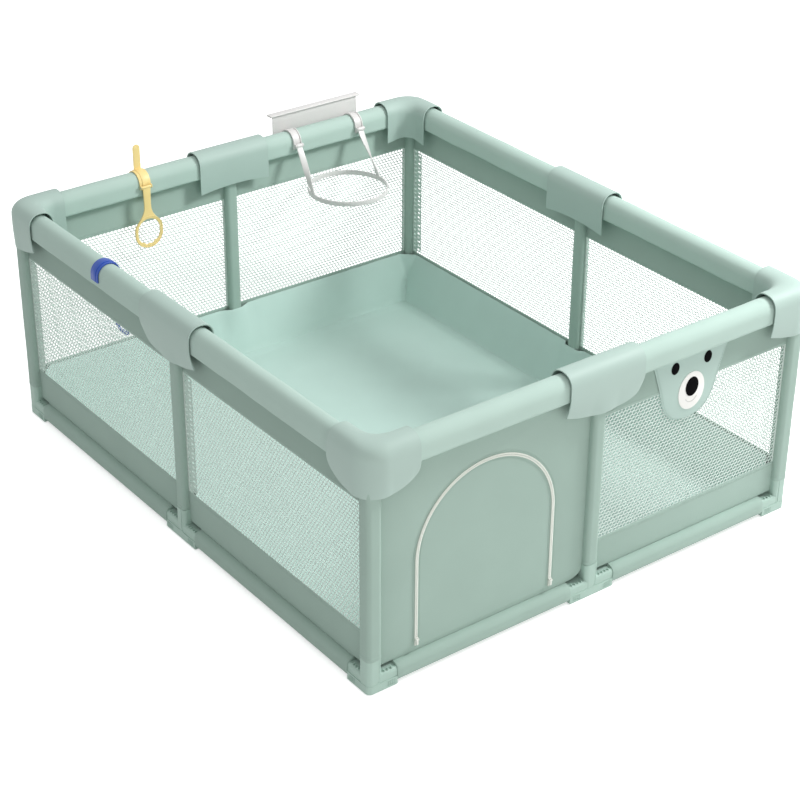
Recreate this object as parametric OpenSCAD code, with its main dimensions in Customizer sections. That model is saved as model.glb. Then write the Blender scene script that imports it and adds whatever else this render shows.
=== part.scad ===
// Square play yard: a plug-in steel tube frame in moulded connectors, with padded rails,
// clip-on caps, sewn fabric and net walls, a zipped doorway, a soft floor and hanging toys.
// The origin is on the floor at the middle of the frame. The doorway faces -Y.

/* [Frame] */
// Distance between the post axes across the short side (X)
frame_w = 1430; // [1000:10:2000]
// Distance between the post axes along the long side (Y)
frame_l = 1730; // [1200:10:2400]
// Height of the caps above the floor
pen_h = 716; // [640:2:800]
// Outer diameter of the steel tubes
tube_d = 25; // [19:0.5:26]
// Wall of the steel tubes
tube_wall = 1.2; // [0.8:0.1:2]

/* [Padded rails] */
// Width of the padded top rail
rail_w = 66; // [58:1:68]
// Height of the padded top rail
rail_h = 70; // [62:1:74]
// Thickness of the quilted rail sleeve
sleeve_t = 3; // [2:0.5:4]
// Width of the bottom rail sleeve
sill_w = 48; // [44:1:52]
// Height of the bottom rail sleeve
sill_h = 55; // [50:1:60]
// Gap between the bottom rail sleeve and the floor
sill_lift = 6; // [4:1:8]
// Corner radius of the bottom rail sleeve
sill_r = 20; // [14:1:21]

/* [Post sleeves] */
// Width of the padded post sleeve
post_w = 41; // [36:1:42]
// Corner radius of the padded post sleeve
post_r = 12; // [8:1:14]

/* [Caps] */
// Clear gap between a cap's wall and the rail sleeve
cap_gap = 4; // [2:0.5:6]
// Wall of the moulded caps
cap_wall = 3; // [2:0.5:4]
// Length of a corner cap's arm, from the post axis
corner_arm = 122; // [110:1:150]
// Length of a middle cap
mid_cap_len = 265; // [200:5:320]
// Lowest point of the caps' outer apron, below the top of the cap
apron_drop = 156; // [140:2:165]
// Rise of the apron at a cap's ends
apron_rise = 50; // [20:2:60]
// Depth of the caps' inner wall at its ends
inner_drop = 128; // [110:2:140]
// Rise of the inner wall between its ends
inner_rise = 10; // [0:1:20]
// Radius of a corner cap's outer edge, seen from above
corner_r = 70; // [56:1:74]
// Radius of a corner cap's inner fillet, seen from above
inner_r = 50; // [30:1:56]

/* [Joints] */
// Wall of the moulded tube sockets
socket_wall = 3.3; // [2.5:0.1:4]
// Depth of the top joints' rail sockets from the post axis
socket_reach = 46; // [36:1:52]
// Clearance between a tube and its socket, on the radius
tube_fit = 0.2; // [0.1:0.05:0.4]
// Length of a bottom connector's arm from the post axis at a corner
foot_arm = 68; // [60:1:80]
// Length of a bottom connector's arm from the post axis in the middle of a wall
mid_foot_arm = 75; // [66:1:90]
// Height of the bottom connectors' post socket
foot_h = 100; // [90:1:120]
// Width of the bottom connectors
foot_w = 44; // [42:1:46]
// Height of the rubber feet below the connectors
foot_lift = 3; // [2:0.5:5]
// Diameter of the rubber feet
rubber_d = 34; // [28:1:38]

/* [Walls] */
// Depth of the fabric band under the top rail
upper_band_h = 100; // [80:2:130]
// Height of the lower fabric band's top edge above the floor
lower_band_top = 160; // [130:2:200]
// Thickness of the doubled wall fabric
cloth_t = 2; // [1:0.5:3]
// Thickness of the net
net_t = 1.2; // [0.8:0.1:2]
// Thickness of the floor sheet
floor_t = 4; // [3:0.5:6]
// Slope of the floor's fabric skirt, measured along the floor
skirt_run = 42; // [20:1:60]
// Thickness of the floor's fabric skirt
skirt_t = 3; // [2:0.5:4]

/* [Doorway] */
// Middle of the doorway from the middle of the front wall
door_x = 355; // [340:1:372]
// Radius of the doorway's arch, at the zip
door_r = 220; // [180:1:235]
// Height of the doorway's straight sides above its fold
door_leg = 250; // [190:1:265]
// Height of the flap's fold above the floor
door_fold = 76; // [73:1:84]
// Width of one side of the zip tape
zip_w = 6; // [5:0.5:8]
// Thickness of the zip
zip_t = 2.2; // [1.5:0.1:3]

/* [Bear apron] */
// Middle of the bear apron from the middle of the front wall
bear_x = 325; // [280:1:400]
// Width of the bear apron at the top
bear_w = 284; // [220:2:300]
// Drop of the bear apron below the rail
bear_h = 203; // [170:1:220]
// Thickness of the bear apron
bear_t = 3; // [2:0.5:5]

/* [Pull rings] */
// Place of the yellow ring along the back wall
yellow_x = -318; // [-560:2:-200]
// Place of the blue ring along the left wall
blue_y = 372; // [200:2:640]
// Width of a pull ring's clip
clip_w = 38; // [30:1:44]
// Thickness of the clips and hooks
clip_t = 3.5; // [2.5:0.5:5]
// Length of a pull ring from its pin to its lowest point
pull_len = 200; // [170:2:230]
// Outer width of the ring
pull_ring_w = 97; // [80:1:110]
// Outer height of the ring
pull_ring_h = 106; // [90:1:120]
// Height of the yellow clip's thumb tab above the rail
thumb_h = 84; // [40:2:100]
// Diameter of the hinge pins
pin_d = 5; // [4:0.5:6]

/* [Hoop] */
// Place of the hoop along the back wall
hoop_x = 358; // [300:2:400]
// Distance between the hoop's two hooks
hook_span = 240; // [200:2:260]
// Width of a hook
hook_w = 30; // [20:1:36]
// Outer diameter of the hoop
hoop_d = 258; // [220:2:270]
// Height of the hoop's flat band
hoop_band = 16; // [10:1:22]
// Thickness of the hoop's flat band
hoop_t = 4; // [3:0.5:6]
// Distance of the hoop's middle from the back wall
hoop_out = 142; // [138:2:180]
// Drop of the hoop's band below the hinge pins
hoop_drop = 150; // [120:2:180]
// Length of the backboard
board_w = 345; // [280:5:420]
// Height of the backboard above the rail
board_rise = 32; // [20:2:60]

/* [Hidden] */
$fn = 48;

seat = 0.3;      // running gap between pieces that seat on each other
half_w = frame_w / 2;
half_l = frame_l / 2;
cap_half = rail_w / 2 + cap_gap + cap_wall;
rail_gap = 8;    // clear height between the rail sleeve and a cap's roof
rail_top = pen_h - cap_wall - rail_gap;
rail_z = rail_top - rail_h / 2;
rail_low = rail_top - rail_h;
tube_r = tube_d / 2;
bore_r = tube_r + tube_fit;
socket_r = bore_r + socket_wall;
sill_top = sill_lift + sill_h;
sill_z = sill_lift + sill_h / 2;
joint_drop = 55; // length of the top joints' post socket below the rail axis
joint_low = rail_z - joint_drop;
post_low = 14;   // height of the post tubes' lower ends
post_high = rail_z - socket_r - 2;
rail_end = tube_r + 2;  // a rail tube's end at a corner, from the post axis
mid_end = 4;     // half of the web between two rail tubes in a middle joint
sleeve_end = socket_reach + 1;
net_low = lower_band_top;
net_high = rail_low - upper_band_h;
side_gap = post_w / 2 + seat;
foot_gap = foot_w / 2 + 0.4;
notch_h = 10;    // height of the opening in the lower band above a connector's arm
ring_y = half_l - rail_w / 2 - seat - clip_t;   // inner face of a clip on the back rail
pin_out = 5;     // distance of a hinge pin from the clip's face
pin_z = rail_z - 2;
sage = [0.67, 0.77, 0.72];
mint = [0.74, 0.84, 0.80];
steel = [0.75, 0.76, 0.78];

// ---------- shapes ----------
module rounded(w, h, r) {
    hull() for (x = [-1, 1], y = [-1, 1]) translate([x * (w / 2 - r), y * (h / 2 - r)]) circle(r);
}

// Rounded rectangle of exact arcs, for extruded sections
module stadium(w, h, r) {
    square([w - 2 * r, h], center = true);
    square([w, h - 2 * r], center = true);
    for (x = [-1, 1], y = [-1, 1]) translate([x * (w / 2 - r), y * (h / 2 - r)]) circle(r);
}

// Section of a padded rail grown by g: round above, squarer below where its seam runs
module rail_shape(g) {
    w = rail_w / 2 + g;
    h = rail_h / 2 + g;
    r = w - 1;
    low_r = 7 + g;
    translate([-w, low_r - h]) square([2 * w, 2 * h - low_r - r]);
    translate([low_r - w, -h]) square([2 * (w - low_r), 2 * h - r]);
    translate([-1, -h]) square([2, 2 * h]);
    for (x = [-1, 1]) {
        translate([x, h - r]) circle(r);
        translate([x * (w - low_r), low_r - h]) circle(low_r);
    }
}

// A bar from a to b along X at height z, its section drawn with Y up
module bar(a, b, z) {
    translate([a, 0, z]) rotate([90, 0, 90]) linear_extrude(b - a) children();
}

// Copies at the two ends of a wall's bays: the child is drawn for the bay from 0 to +len
module both_bays() {
    children();
    mirror([1, 0, 0]) children();
}

// The four walls: 0 front, 1 right, 2 back, 3 left. The child's wall runs along X at Y = 0,
// its middle at X = 0, with the outside at -Y.
function wall_half(side) = side % 2 == 0 ? half_w : half_l;
module on_wall(side) {
    out = side % 2 == 0 ? half_l : half_w;
    rotate([0, 0, 90 * side]) translate([0, -out, 0]) children();
}

// The four corners: the child's corner is at the origin, its arms run along +X and +Y
module on_corner(right, back) {
    translate([right ? half_w : -half_w, back ? half_l : -half_l, 0])
        mirror([right ? 1 : 0, 0, 0]) mirror([0, back ? 1 : 0, 0]) children();
}

// ---------- tubes, foam and sleeves ----------
module tube_along(a, b, z) {
    bar(a, b, z) difference() {
        circle(tube_r);
        circle(tube_r - tube_wall);
    }
}

module post_tube() translate([0, 0, post_low]) difference() {
    cylinder(h = post_high - post_low, r = tube_r);
    translate([0, 0, -1]) cylinder(h = post_high - post_low + 2, r = tube_r - tube_wall);
}
module post_tubes() color(steel) {
    for (x = [-1, 1], y = [-1, 1]) translate([x * half_w, y * half_l, 0]) post_tube();
    for (side = [0:3]) on_wall(side) post_tube();
}

module top_rail_tubes() color(steel)
    for (side = [0:3]) on_wall(side) both_bays()
        tube_along(mid_end + seat, wall_half(side) - rail_end - seat, rail_z);

module bottom_rail_tubes() color(steel)
    for (side = [0:3]) on_wall(side) both_bays()
        tube_along(mid_foot_arm / 3, wall_half(side) - foot_arm / 3, sill_z);

module top_rail_foam() color("whitesmoke")
    for (side = [0:3]) on_wall(side) both_bays()
        bar(sleeve_end, wall_half(side) - sleeve_end, rail_z) difference() {
            rail_shape(-sleeve_t - seat);
            circle(tube_r + seat);
        }

module rail_sleeve(side) color(sage)
    on_wall(side) both_bays()
        bar(sleeve_end, wall_half(side) - sleeve_end, rail_z) difference() {
            rail_shape(0);
            rail_shape(-sleeve_t);
        }
module rail_sleeve_front() rail_sleeve(0);
module rail_sleeve_back() rail_sleeve(2);
module rail_sleeve_left() rail_sleeve(3);
module rail_sleeve_right() rail_sleeve(1);

module sill_sleeve(side) color(sage)
    on_wall(side) both_bays()
        bar(mid_foot_arm + seat, wall_half(side) - foot_arm - seat, sill_z) difference() {
            stadium(sill_w, sill_h, sill_r);
            circle(tube_r + seat);
        }
module sill_sleeves_short() for (side = [0, 2]) sill_sleeve(side);
module sill_sleeves_long() for (side = [1, 3]) sill_sleeve(side);

module post_sleeve() color(sage) {
    low = foot_h + seat;
    translate([0, 0, low]) linear_extrude(joint_low - seat - low) difference() {
        stadium(post_w, post_w, post_r);
        circle(tube_r + seat);
    }
}
module corner_post_sleeves()
    for (x = [-1, 1], y = [-1, 1]) translate([x * half_w, y * half_l, 0]) post_sleeve();
module mid_post_sleeves() for (side = [0:3]) on_wall(side) post_sleeve();

// ---------- caps ----------
// A cap is one thin saddle swept along its rail. Each ring of points goes from the outer
// wall's lower edge over the roof to the inner wall's lower edge, and back inside the shell.
arch_h = 40;     // height of the rounded roof above the straight walls
roof_steps = 8;  // facets across the roof
roof_pow = 2.3;  // fullness of the roof's curve
function sgn_pow(v, p) = sign(v) * pow(abs(v), p);
// Points across the section in [distance from inner face, height], for one skin of the shell
function skin(width, inset, z_out, z_in) = let(
        half = width / 2 - inset,
        z_arch = pen_h - arch_h,
        rise = arch_h - inset)
    concat([[width - inset, z_out]],
        [for (i = [0:roof_steps]) let(a = 180 * i / roof_steps)
            [width / 2 + half * sgn_pow(cos(a), 2 / roof_pow),
                z_arch + rise * sgn_pow(sin(a), 2 / roof_pow)]],
        [[inset, z_in]]);
// One ring of the shell between an inner and an outer point of the plan
function cap_ring(p_in, p_out, z_out, z_in) = let(
        width = norm(p_out - p_in),
        dir = (p_out - p_in) / width,
        outer = skin(width, 0, z_out, z_in),
        inner = skin(width, cap_wall, z_out, z_in))
    [for (q = concat(outer, [for (i = [len(inner) - 1:-1:0]) inner[i]]))
        [p_in[0] + dir[0] * q[0], p_in[1] + dir[1] * q[0], q[1]]];
module cap_shell(rings) {
    n = len(rings[0]);
    m = len(rings);
    half = n / 2;
    points = [for (ring = rings) each ring];
    sides = [for (i = [0:m - 2], j = [0:n - 1]) let(k = (j + 1) % n)
        [i * n + j, i * n + k, (i + 1) * n + k, (i + 1) * n + j]];
    first = [for (j = [0:half - 2]) [j + 1, j, n - 1 - j, n - 2 - j]];
    last = [for (j = [0:half - 2]) let(o = (m - 1) * n) [o + j, o + j + 1, o + n - 2 - j, o + n - 1 - j]];
    polyhedron(points, concat(sides, first, last), convexity = 6);
}

// Lower edges: t runs from 1 at a cap's end to 0 in its middle
apron_pow = 3;
function apron_z(t) = pen_h - apron_drop + apron_rise * (1 - pow(1 - pow(min(abs(t), 1), apron_pow), 1 / apron_pow));
function inner_z(t) = pen_h - inner_drop + inner_rise * (1 - t * t);

fillet_c = cap_half + inner_r;           // middle of the inner fillet, from the corner on X and Y
outer_c = corner_r - cap_half;           // middle of the outer rounding, likewise
bend_a = atan((fillet_c - outer_c) / (fillet_c + cap_half));  // ray through the outer rounding's start
// The outer outline met by the ray that leaves the fillet's middle at angle a from -Y
function outer_at(a) = a > 45 ? let(p = outer_at(90 - a)) [p[1], p[0]]
    : a <= bend_a ? [fillet_c - (fillet_c + cap_half) * tan(a), -cap_half]
    : let(d = [-sin(a), -cos(a)], b = (fillet_c - outer_c) * (d[0] + d[1]),
        c = 2 * pow(fillet_c - outer_c, 2) - corner_r * corner_r,
        t = -b + sqrt(b * b - c))
      [fillet_c + t * d[0], fillet_c + t * d[1]];
function inner_at(a) = [fillet_c - inner_r * sin(a), fillet_c - inner_r * cos(a)];
function corner_t(a) = let(b = min(a, 90 - a)) b <= bend_a ? outer_at(b)[0] / corner_arm
    : outer_c / corner_arm * (45 - b) / (45 - bend_a);
function corner_ti(a) = fillet_c / corner_arm * (45 - min(a, 90 - a)) / 45;
arm_steps = [0, 0.02, 0.08, 0.2, 0.5];  // shares of the straight arm where it gets a ring
bend_steps = [0, 12, bend_a, 35, 45, 55, 90 - bend_a, 78, 90];
module corner_cap() color(sage) {
    run = corner_arm - fillet_c;
    arm = [for (s = arm_steps) let(x = corner_arm - s * run, t = x / corner_arm)
        cap_ring([x, cap_half], [x, -cap_half], apron_z(t), inner_z(t))];
    bend = [for (a = bend_steps) cap_ring(inner_at(a), outer_at(a), apron_z(corner_t(a)), inner_z(corner_ti(a)))];
    other = [for (i = [len(arm_steps) - 1:-1:0]) let(y = corner_arm - arm_steps[i] * run, t = y / corner_arm)
        cap_ring([cap_half, y], [-cap_half, y], apron_z(t), inner_z(t))];
    cap_shell(concat(arm, bend, other));
}
module corner_cap_front_left() on_corner(false, false) corner_cap();
module corner_cap_front_right() on_corner(true, false) corner_cap();
module corner_cap_back_left() on_corner(false, true) corner_cap();
module corner_cap_back_right() on_corner(true, true) corner_cap();

mid_steps = [-1, -0.99, -0.96, -0.88, -0.7, -0.4, 0, 0.4, 0.7, 0.88, 0.96, 0.99, 1];
module mid_cap(side) color(sage)
    on_wall(side) cap_shell([for (t = mid_steps) let(x = -t * mid_cap_len / 2)
        cap_ring([x, cap_half], [x, -cap_half], apron_z(t), inner_z(t))]);
module mid_cap_front() mid_cap(0);
module mid_cap_back() mid_cap(2);
module mid_cap_left() mid_cap(3);
module mid_cap_right() mid_cap(1);

// ---------- top joints ----------
boss_r = 9;      // radius of the post under a cap's roof
module joint_drop_socket() translate([0, 0, joint_low]) cylinder(h = joint_drop - 4, r = socket_r + 0.6);
module joint_post_bore() {
    translate([0, 0, joint_low - 1]) cylinder(h = post_high + seat - joint_low + 1, r = bore_r);
    translate([0, 0, rail_z]) cylinder(h = socket_r, r = boss_r - 3);
}
module joint_boss(top) translate([0, 0, rail_z + socket_r - 3])
    cylinder(h = top - rail_z - socket_r + 3, r = boss_r);
// Height of a cap's inner skin at distance d from its outer face, over a section of a given width
function roof_z(width, d) = let(
        half = width / 2 - cap_wall,
        c = pow(abs(d - width / 2) / half, roof_pow / 2))
    pen_h - arch_h + (arch_h - cap_wall) * pow(sqrt(1 - c * c), 2 / roof_pow);
corner_boss_top = roof_z(norm(outer_at(45) - inner_at(45)), norm(outer_at(45)) - boss_r) - seat;
mid_boss_top = roof_z(2 * cap_half, cap_half - boss_r) - seat;

module corner_joints() color("gainsboro")
    for (right = [false, true], back = [false, true]) on_corner(right, back) difference() {
        union() {
            joint_drop_socket();
            translate([0, 0, rail_z]) sphere(socket_r);
            joint_boss(corner_boss_top);
            translate([0, 0, rail_z]) rotate([0, 90, 0]) cylinder(h = socket_reach, r = socket_r);
            translate([0, 0, rail_z]) rotate([-90, 0, 0]) cylinder(h = socket_reach, r = socket_r);
        }
        joint_post_bore();
        translate([rail_end, 0, rail_z]) rotate([0, 90, 0]) cylinder(h = socket_reach, r = bore_r);
        translate([0, rail_end, rail_z]) rotate([-90, 0, 0]) cylinder(h = socket_reach, r = bore_r);
    }

module mid_joints() color("gainsboro")
    for (side = [0:3]) on_wall(side) difference() {
        union() {
            joint_drop_socket();
            joint_boss(mid_boss_top);
            bar(-socket_reach, socket_reach, rail_z) circle(socket_r);
        }
        joint_post_bore();
        for (s = [0, 1]) mirror([s, 0, 0]) bar(mid_end, socket_reach + 1, rail_z) circle(bore_r);
    }

// ---------- bottom connectors ----------
arm_top = sill_top - 8;  // height of a connector's arm, under the sleeve's top
skid_h = 24;     // height of the connector's wide base
recess = 1.2;    // depth of the moulded recesses
module connector_arm(reach) {
    arm_h = arm_top - foot_lift;
    bar(0, reach, foot_lift + arm_h / 2) stadium(foot_w - 2, arm_h, 9);
    // row of small teeth on the arm's top, in the opening under the fabric
    for (x = [foot_gap + 8 : 11 : reach - 8]) translate([x, -foot_w / 2 + 5, arm_top - 1]) cube([3, 6, 5]);
    translate([0, -foot_w / 2 - 0.8, foot_lift]) cube([reach, foot_w + 1.6, skid_h]);
}
module connector_post() {
    translate([0, 0, foot_lift]) linear_extrude(foot_h - foot_lift) stadium(foot_w, foot_w, 13);
    translate([0, 0, foot_lift]) linear_extrude(skid_h) stadium(foot_w + 1.6, foot_w + 1.6, 14);
}
module connector_arm_cuts(reach) {
    translate([reach / 3 - seat, 0, sill_z]) rotate([0, 90, 0]) cylinder(h = reach, r = bore_r);
    // sunk panel on the outer side of the base
    for (x = [0:3]) translate([reach - 34 + 6.8 * x, -foot_w / 2 - 2, foot_lift + 5])
        cube([5.4, 2 + recess - 0.8, skid_h - 9]);
}
module connector_post_cuts() {
    translate([0, 0, post_low - seat]) cylinder(h = foot_h, r = bore_r);
    // pocket of the rubber foot
    translate([0, 0, -1]) cylinder(h = foot_lift + 4, r = rubber_d / 2 + 0.1);
    // upright flute beside the post's outer corner
    translate([6, -foot_w / 2 - 1, skid_h + 6]) cube([7, 1 + recess, foot_h]);
}
module corner_connectors() color(sage)
    for (right = [false, true], back = [false, true]) on_corner(right, back) difference() {
        union() {
            connector_post();
            connector_arm(foot_arm);
            mirror([1, -1, 0]) connector_arm(foot_arm);
        }
        connector_post_cuts();
        connector_arm_cuts(foot_arm);
        mirror([1, -1, 0]) connector_arm_cuts(foot_arm);
    }
module mid_connectors() color(sage)
    for (side = [0:3]) on_wall(side) difference() {
        union() {
            connector_post();
            both_bays() connector_arm(mid_foot_arm);
        }
        connector_post_cuts();
        both_bays() connector_arm_cuts(mid_foot_arm);
    }

module rubber_foot() color([0.25, 0.28, 0.27])
    rotate_extrude() polygon([[0, 2], [rubber_d / 2 - 3, 0], [rubber_d / 2, 0], [rubber_d / 2, foot_lift + 2.7],
        [0, foot_lift + 2.7]]);
module rubber_feet() {
    for (x = [-1, 1], y = [-1, 1]) translate([x * half_w, y * half_l, 0]) rubber_foot();
    for (side = [0:3]) on_wall(side) rubber_foot();
}

// ---------- fabric walls ----------
module wall_sheet(side, t, low, high, gap) {
    on_wall(side) both_bays()
        translate([gap, -t / 2, low]) cube([wall_half(side) - 2 * gap, t, high - low]);
}
// Outline of a lower panel with its two openings above the connectors' arms
module notched(length, low, high, curl) {
    foot = max(low, arm_top + notch_h);
    polygon(concat([for (a = [0:15:90]) [foot_gap + curl * (1 - cos(a)), foot + curl * curl_h / curl_w * (1 - sin(a))]],
        [[mid_foot_arm, arm_top + notch_h], [mid_foot_arm + 4, low],
        [length - foot_arm - 4, low], [length - foot_arm, arm_top + notch_h],
        [length - foot_gap, arm_top + notch_h], [length - foot_gap, high], [foot_gap, high]]));
}
curl_w = 46;     // width and height of the doorway panel's cut corner beside the middle post
curl_h = 30;
module lower_panel(side, high, curl = 0.01) {
    translate([0, cloth_t / 2, 0]) rotate([90, 0, 0])
        linear_extrude(cloth_t) notched(wall_half(side), sill_top, high, curl);
}
module upper_band(side) color(sage) wall_sheet(side, cloth_t, net_high, rail_low, side_gap);
module upper_band_back() upper_band(2);
module upper_band_left() upper_band(3);
module upper_band_right() upper_band(1);
module upper_band_front() color(sage)
    on_wall(0) translate([side_gap, -cloth_t / 2, net_high]) cube([half_w - 2 * side_gap, cloth_t, upper_band_h]);

// One bay of net, with a plain grid of large openings that stands for its fine mesh
net_across = 6;  // openings across a bay, and up it
net_up = 3;
net_strand = 28; // width left between the openings
module net_bay(side) {
    length = wall_half(side) - 2 * side_gap;
    height = net_high - net_low;
    step_x = (length - net_strand) / net_across;
    step_z = (height - net_strand) / net_up;
    translate([side_gap, -net_t / 2, net_low]) difference() {
        cube([length, net_t, height]);
        for (i = [0:net_across - 1], k = [0:net_up - 1])
            translate([net_strand + i * step_x, -1, net_strand + k * step_z])
                cube([step_x - net_strand, net_t + 2, step_z - net_strand]);
    }
}
module net(side) color([0.92, 0.96, 0.94]) on_wall(side) both_bays() net_bay(side);
module net_back() net(2);
module net_left() net(3);
module net_right() net(1);
module net_front() color([0.92, 0.96, 0.94]) on_wall(0) net_bay(0);

module lower_band(side) color(sage) on_wall(side) both_bays() lower_panel(side, net_low);
module lower_band_back() lower_band(2);
module lower_band_left() lower_band(3);
module lower_band_right() lower_band(1);
module lower_band_front() color(sage) on_wall(0) lower_panel(0, net_low);

// ---------- floor ----------
skirt_out = post_w / 2 + 0.5;      // skirt's top from the wall's plane
skirt_in = skirt_out + skirt_run;  // skirt's foot from the wall's plane
module floor_sheet() color(mint)
    translate([-half_w + skirt_in, -half_l + skirt_in, 0])
        cube([frame_w - 2 * skirt_in, frame_l - 2 * skirt_in, floor_t]);
// One side of the skirt, drawn for a wall along X, with mitred ends
module skirt_side(half) {
    top = lower_band_top - 2;
    function edge(out, z) = [[-half + out + seat, out, z], [half - out - seat, out, z]];
    points = concat(edge(skirt_out, top), edge(skirt_out + skirt_t, top),
        edge(skirt_in - seat, 0), edge(skirt_in - seat - skirt_t, 0));
    polyhedron(points, [[0, 1, 3, 2], [2, 3, 5, 4], [4, 5, 7, 6], [6, 7, 1, 0], [0, 2, 4, 6], [1, 7, 5, 3]]);
}
module floor_skirt() color(mint) for (side = [0:3]) on_wall(side) skirt_side(wall_half(side));

// ---------- doorway ----------
zip_play = 0.2;  // half of the gap between the two sides of the zip
edge_play = 1.5; // distance of the cloth's cut edges from the middle of the zip
module arch(r, low) {
    translate([0, door_fold + door_leg]) circle(r, $fn = 96);
    translate([-r, low]) square([2 * r, door_fold + door_leg - low]);
}
// Upright plate on the front wall's plane, from y_front outwards, at the doorway
module on_door(front, t) on_wall(0) translate([-door_x, -front, 0]) rotate([90, 0, 0]) linear_extrude(t) children();

module door_panel() color(sage) difference() {
    on_wall(0) mirror([1, 0, 0]) lower_panel(0, rail_low, curl_w);
    on_door(-cloth_t, 3 * cloth_t) arch(door_r + edge_play, door_fold - 1.7);
}
module door_flap() color(sage) on_door(-cloth_t / 2, cloth_t) arch(door_r - edge_play, door_fold + 1.2);
zip_front = cloth_t / 2 + seat;
module zip_tape_fixed() color("ivory") on_door(zip_front, zip_t) difference() {
    arch(door_r + zip_play + zip_w, door_fold + 1.2);
    arch(door_r + zip_play, door_fold);
}
module zip_tape_moving() color("ivory") on_door(zip_front, zip_t) difference() {
    arch(door_r - zip_play, door_fold + 1.2);
    arch(door_r - zip_play - zip_w, door_fold);
}
slider_z = door_fold + 8;
slider_y = zip_front + zip_t + seat;
slider_t = 3.4;  // thickness of a zip slider
pull_y = slider_y + slider_t + 2.2;
pull_z = slider_z + 14;
module zip_slider(s) color("ivory") on_wall(0) translate([-door_x + s * door_r, 0, 0]) {
    translate([0, -slider_y, slider_z]) rotate([90, 0, 0]) linear_extrude(slider_t)
        polygon([[-3.5, 0], [3.5, 0], [5, 9], [4.5, 18], [-4.5, 18], [-5, 9]]);
    // bridge that holds the pull
    for (x = [-3.6, 3.6]) translate([x - 0.8, -pull_y - 1.6, pull_z - 2]) cube([1.6, pull_y + 1.6 - slider_y - slider_t + 0.5, 4]);
    translate([-3.6, -pull_y, pull_z]) rotate([0, 90, 0]) cylinder(h = 7.2, r = 0.9);
}
module zip_slider_left() zip_slider(-1);
module zip_slider_right() zip_slider(1);
module zip_pull(s) color("ivory") on_wall(0) translate([-door_x + s * door_r, -pull_y, pull_z]) difference() {
    union() {
        rotate([0, 90, 0]) translate([0, 0, -2.4]) cylinder(h = 4.8, r = 1.8);
        translate([-2.4, -0.9, -15]) cube([4.8, 1.8, 15]);
    }
    rotate([0, 90, 0]) translate([0, 0, -5]) cylinder(h = 10, r = 0.98);
}
module zip_pull_left() zip_pull(-1);
module zip_pull_right() zip_pull(1);

// ---------- bear apron ----------
bear_front = cloth_t / 2 + seat;
// Shares of the apron's half width at shares of its height, from the lowest point up
bear_form = [[0.155, 0.007], [0.296, 0.03], [0.412, 0.069], [0.518, 0.128], [0.606, 0.22], [0.665, 0.319],
    [0.708, 0.42], [0.75, 0.532], [0.849, 0.741], [0.915, 0.877], [1, 1]];
muzzle_w = 94;
muzzle_h = 112;
muzzle_z = rail_low - bear_h + 82;
module on_bear(front, t) on_wall(0) translate([bear_x, -front, 0]) rotate([90, 0, 0]) linear_extrude(t) children();
module ellipse(w, h) scale([w / h, 1]) circle(h / 2);
function bear_edge(s, p) = [s * p[0] * bear_w / 2, rail_low - bear_h + p[1] * (bear_h - seat)];
module bear_apron() color(mint) on_bear(bear_front, bear_t)
    polygon(concat([[0, rail_low - bear_h]], [for (p = bear_form) bear_edge(1, p)],
        [for (i = [len(bear_form) - 1 : -1 : 0]) bear_edge(-1, bear_form[i])]));
module bear_muzzle() color("white") on_bear(bear_front + bear_t, 1.2)
    translate([6, muzzle_z]) stadium(muzzle_w, muzzle_h, muzzle_w / 2 - 0.5);
module bear_features() color([0.1, 0.1, 0.11]) {
    on_bear(bear_front + bear_t + 1.2, 1) translate([6, muzzle_z + 12.5]) stadium(46, 57, 22.5);
    on_bear(bear_front + bear_t, 1) for (x = [-59, 59]) translate([x, rail_low - 36.5]) stadium(28, 35, 13.5);
}

// ---------- clips and pull rings ----------
// C section that grips the padded rail, open below; Y is up, +X is the outer side
module clip_section(t, low_in, low_out) {
    difference() {
        rail_shape(seat + t);
        rail_shape(seat);
        translate([-rail_w, -rail_h]) square([rail_w - 4, rail_h + low_in]);
        translate([-4, -rail_h]) square([rail_w + 8, rail_h + low_out]);
    }
}
ear_t = 3.2;     // thickness of a clip's hinge ears
module pull_clip() {
    difference() {
        union() {
            bar(-clip_w / 2, clip_w / 2, rail_z) mirror([1, 0]) clip_section(clip_t, -10, -14);
            // raised band along the middle of the clip
            bar(-clip_w / 4, clip_w / 4, rail_z) mirror([1, 0]) difference() {
                clip_section(clip_t + 1.5, 10, -14);
                rail_shape(0.5);
            }
            for (s = [-1, 1]) translate([s * (clip_w / 2 - ear_t / 2) - ear_t / 2, rail_w / 2 + seat + 1, pin_z - 6])
                cube([ear_t, clip_t + pin_out + 3, 12]);
        }
        translate([-clip_w, rail_w / 2 + seat + clip_t + pin_out, pin_z]) rotate([0, 90, 0])
            cylinder(h = 2 * clip_w, r = pin_d / 2);
    }
}
pin_y = rail_w / 2 + seat + clip_t + pin_out;  // hinge pin from the wall's plane, inwards
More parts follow.
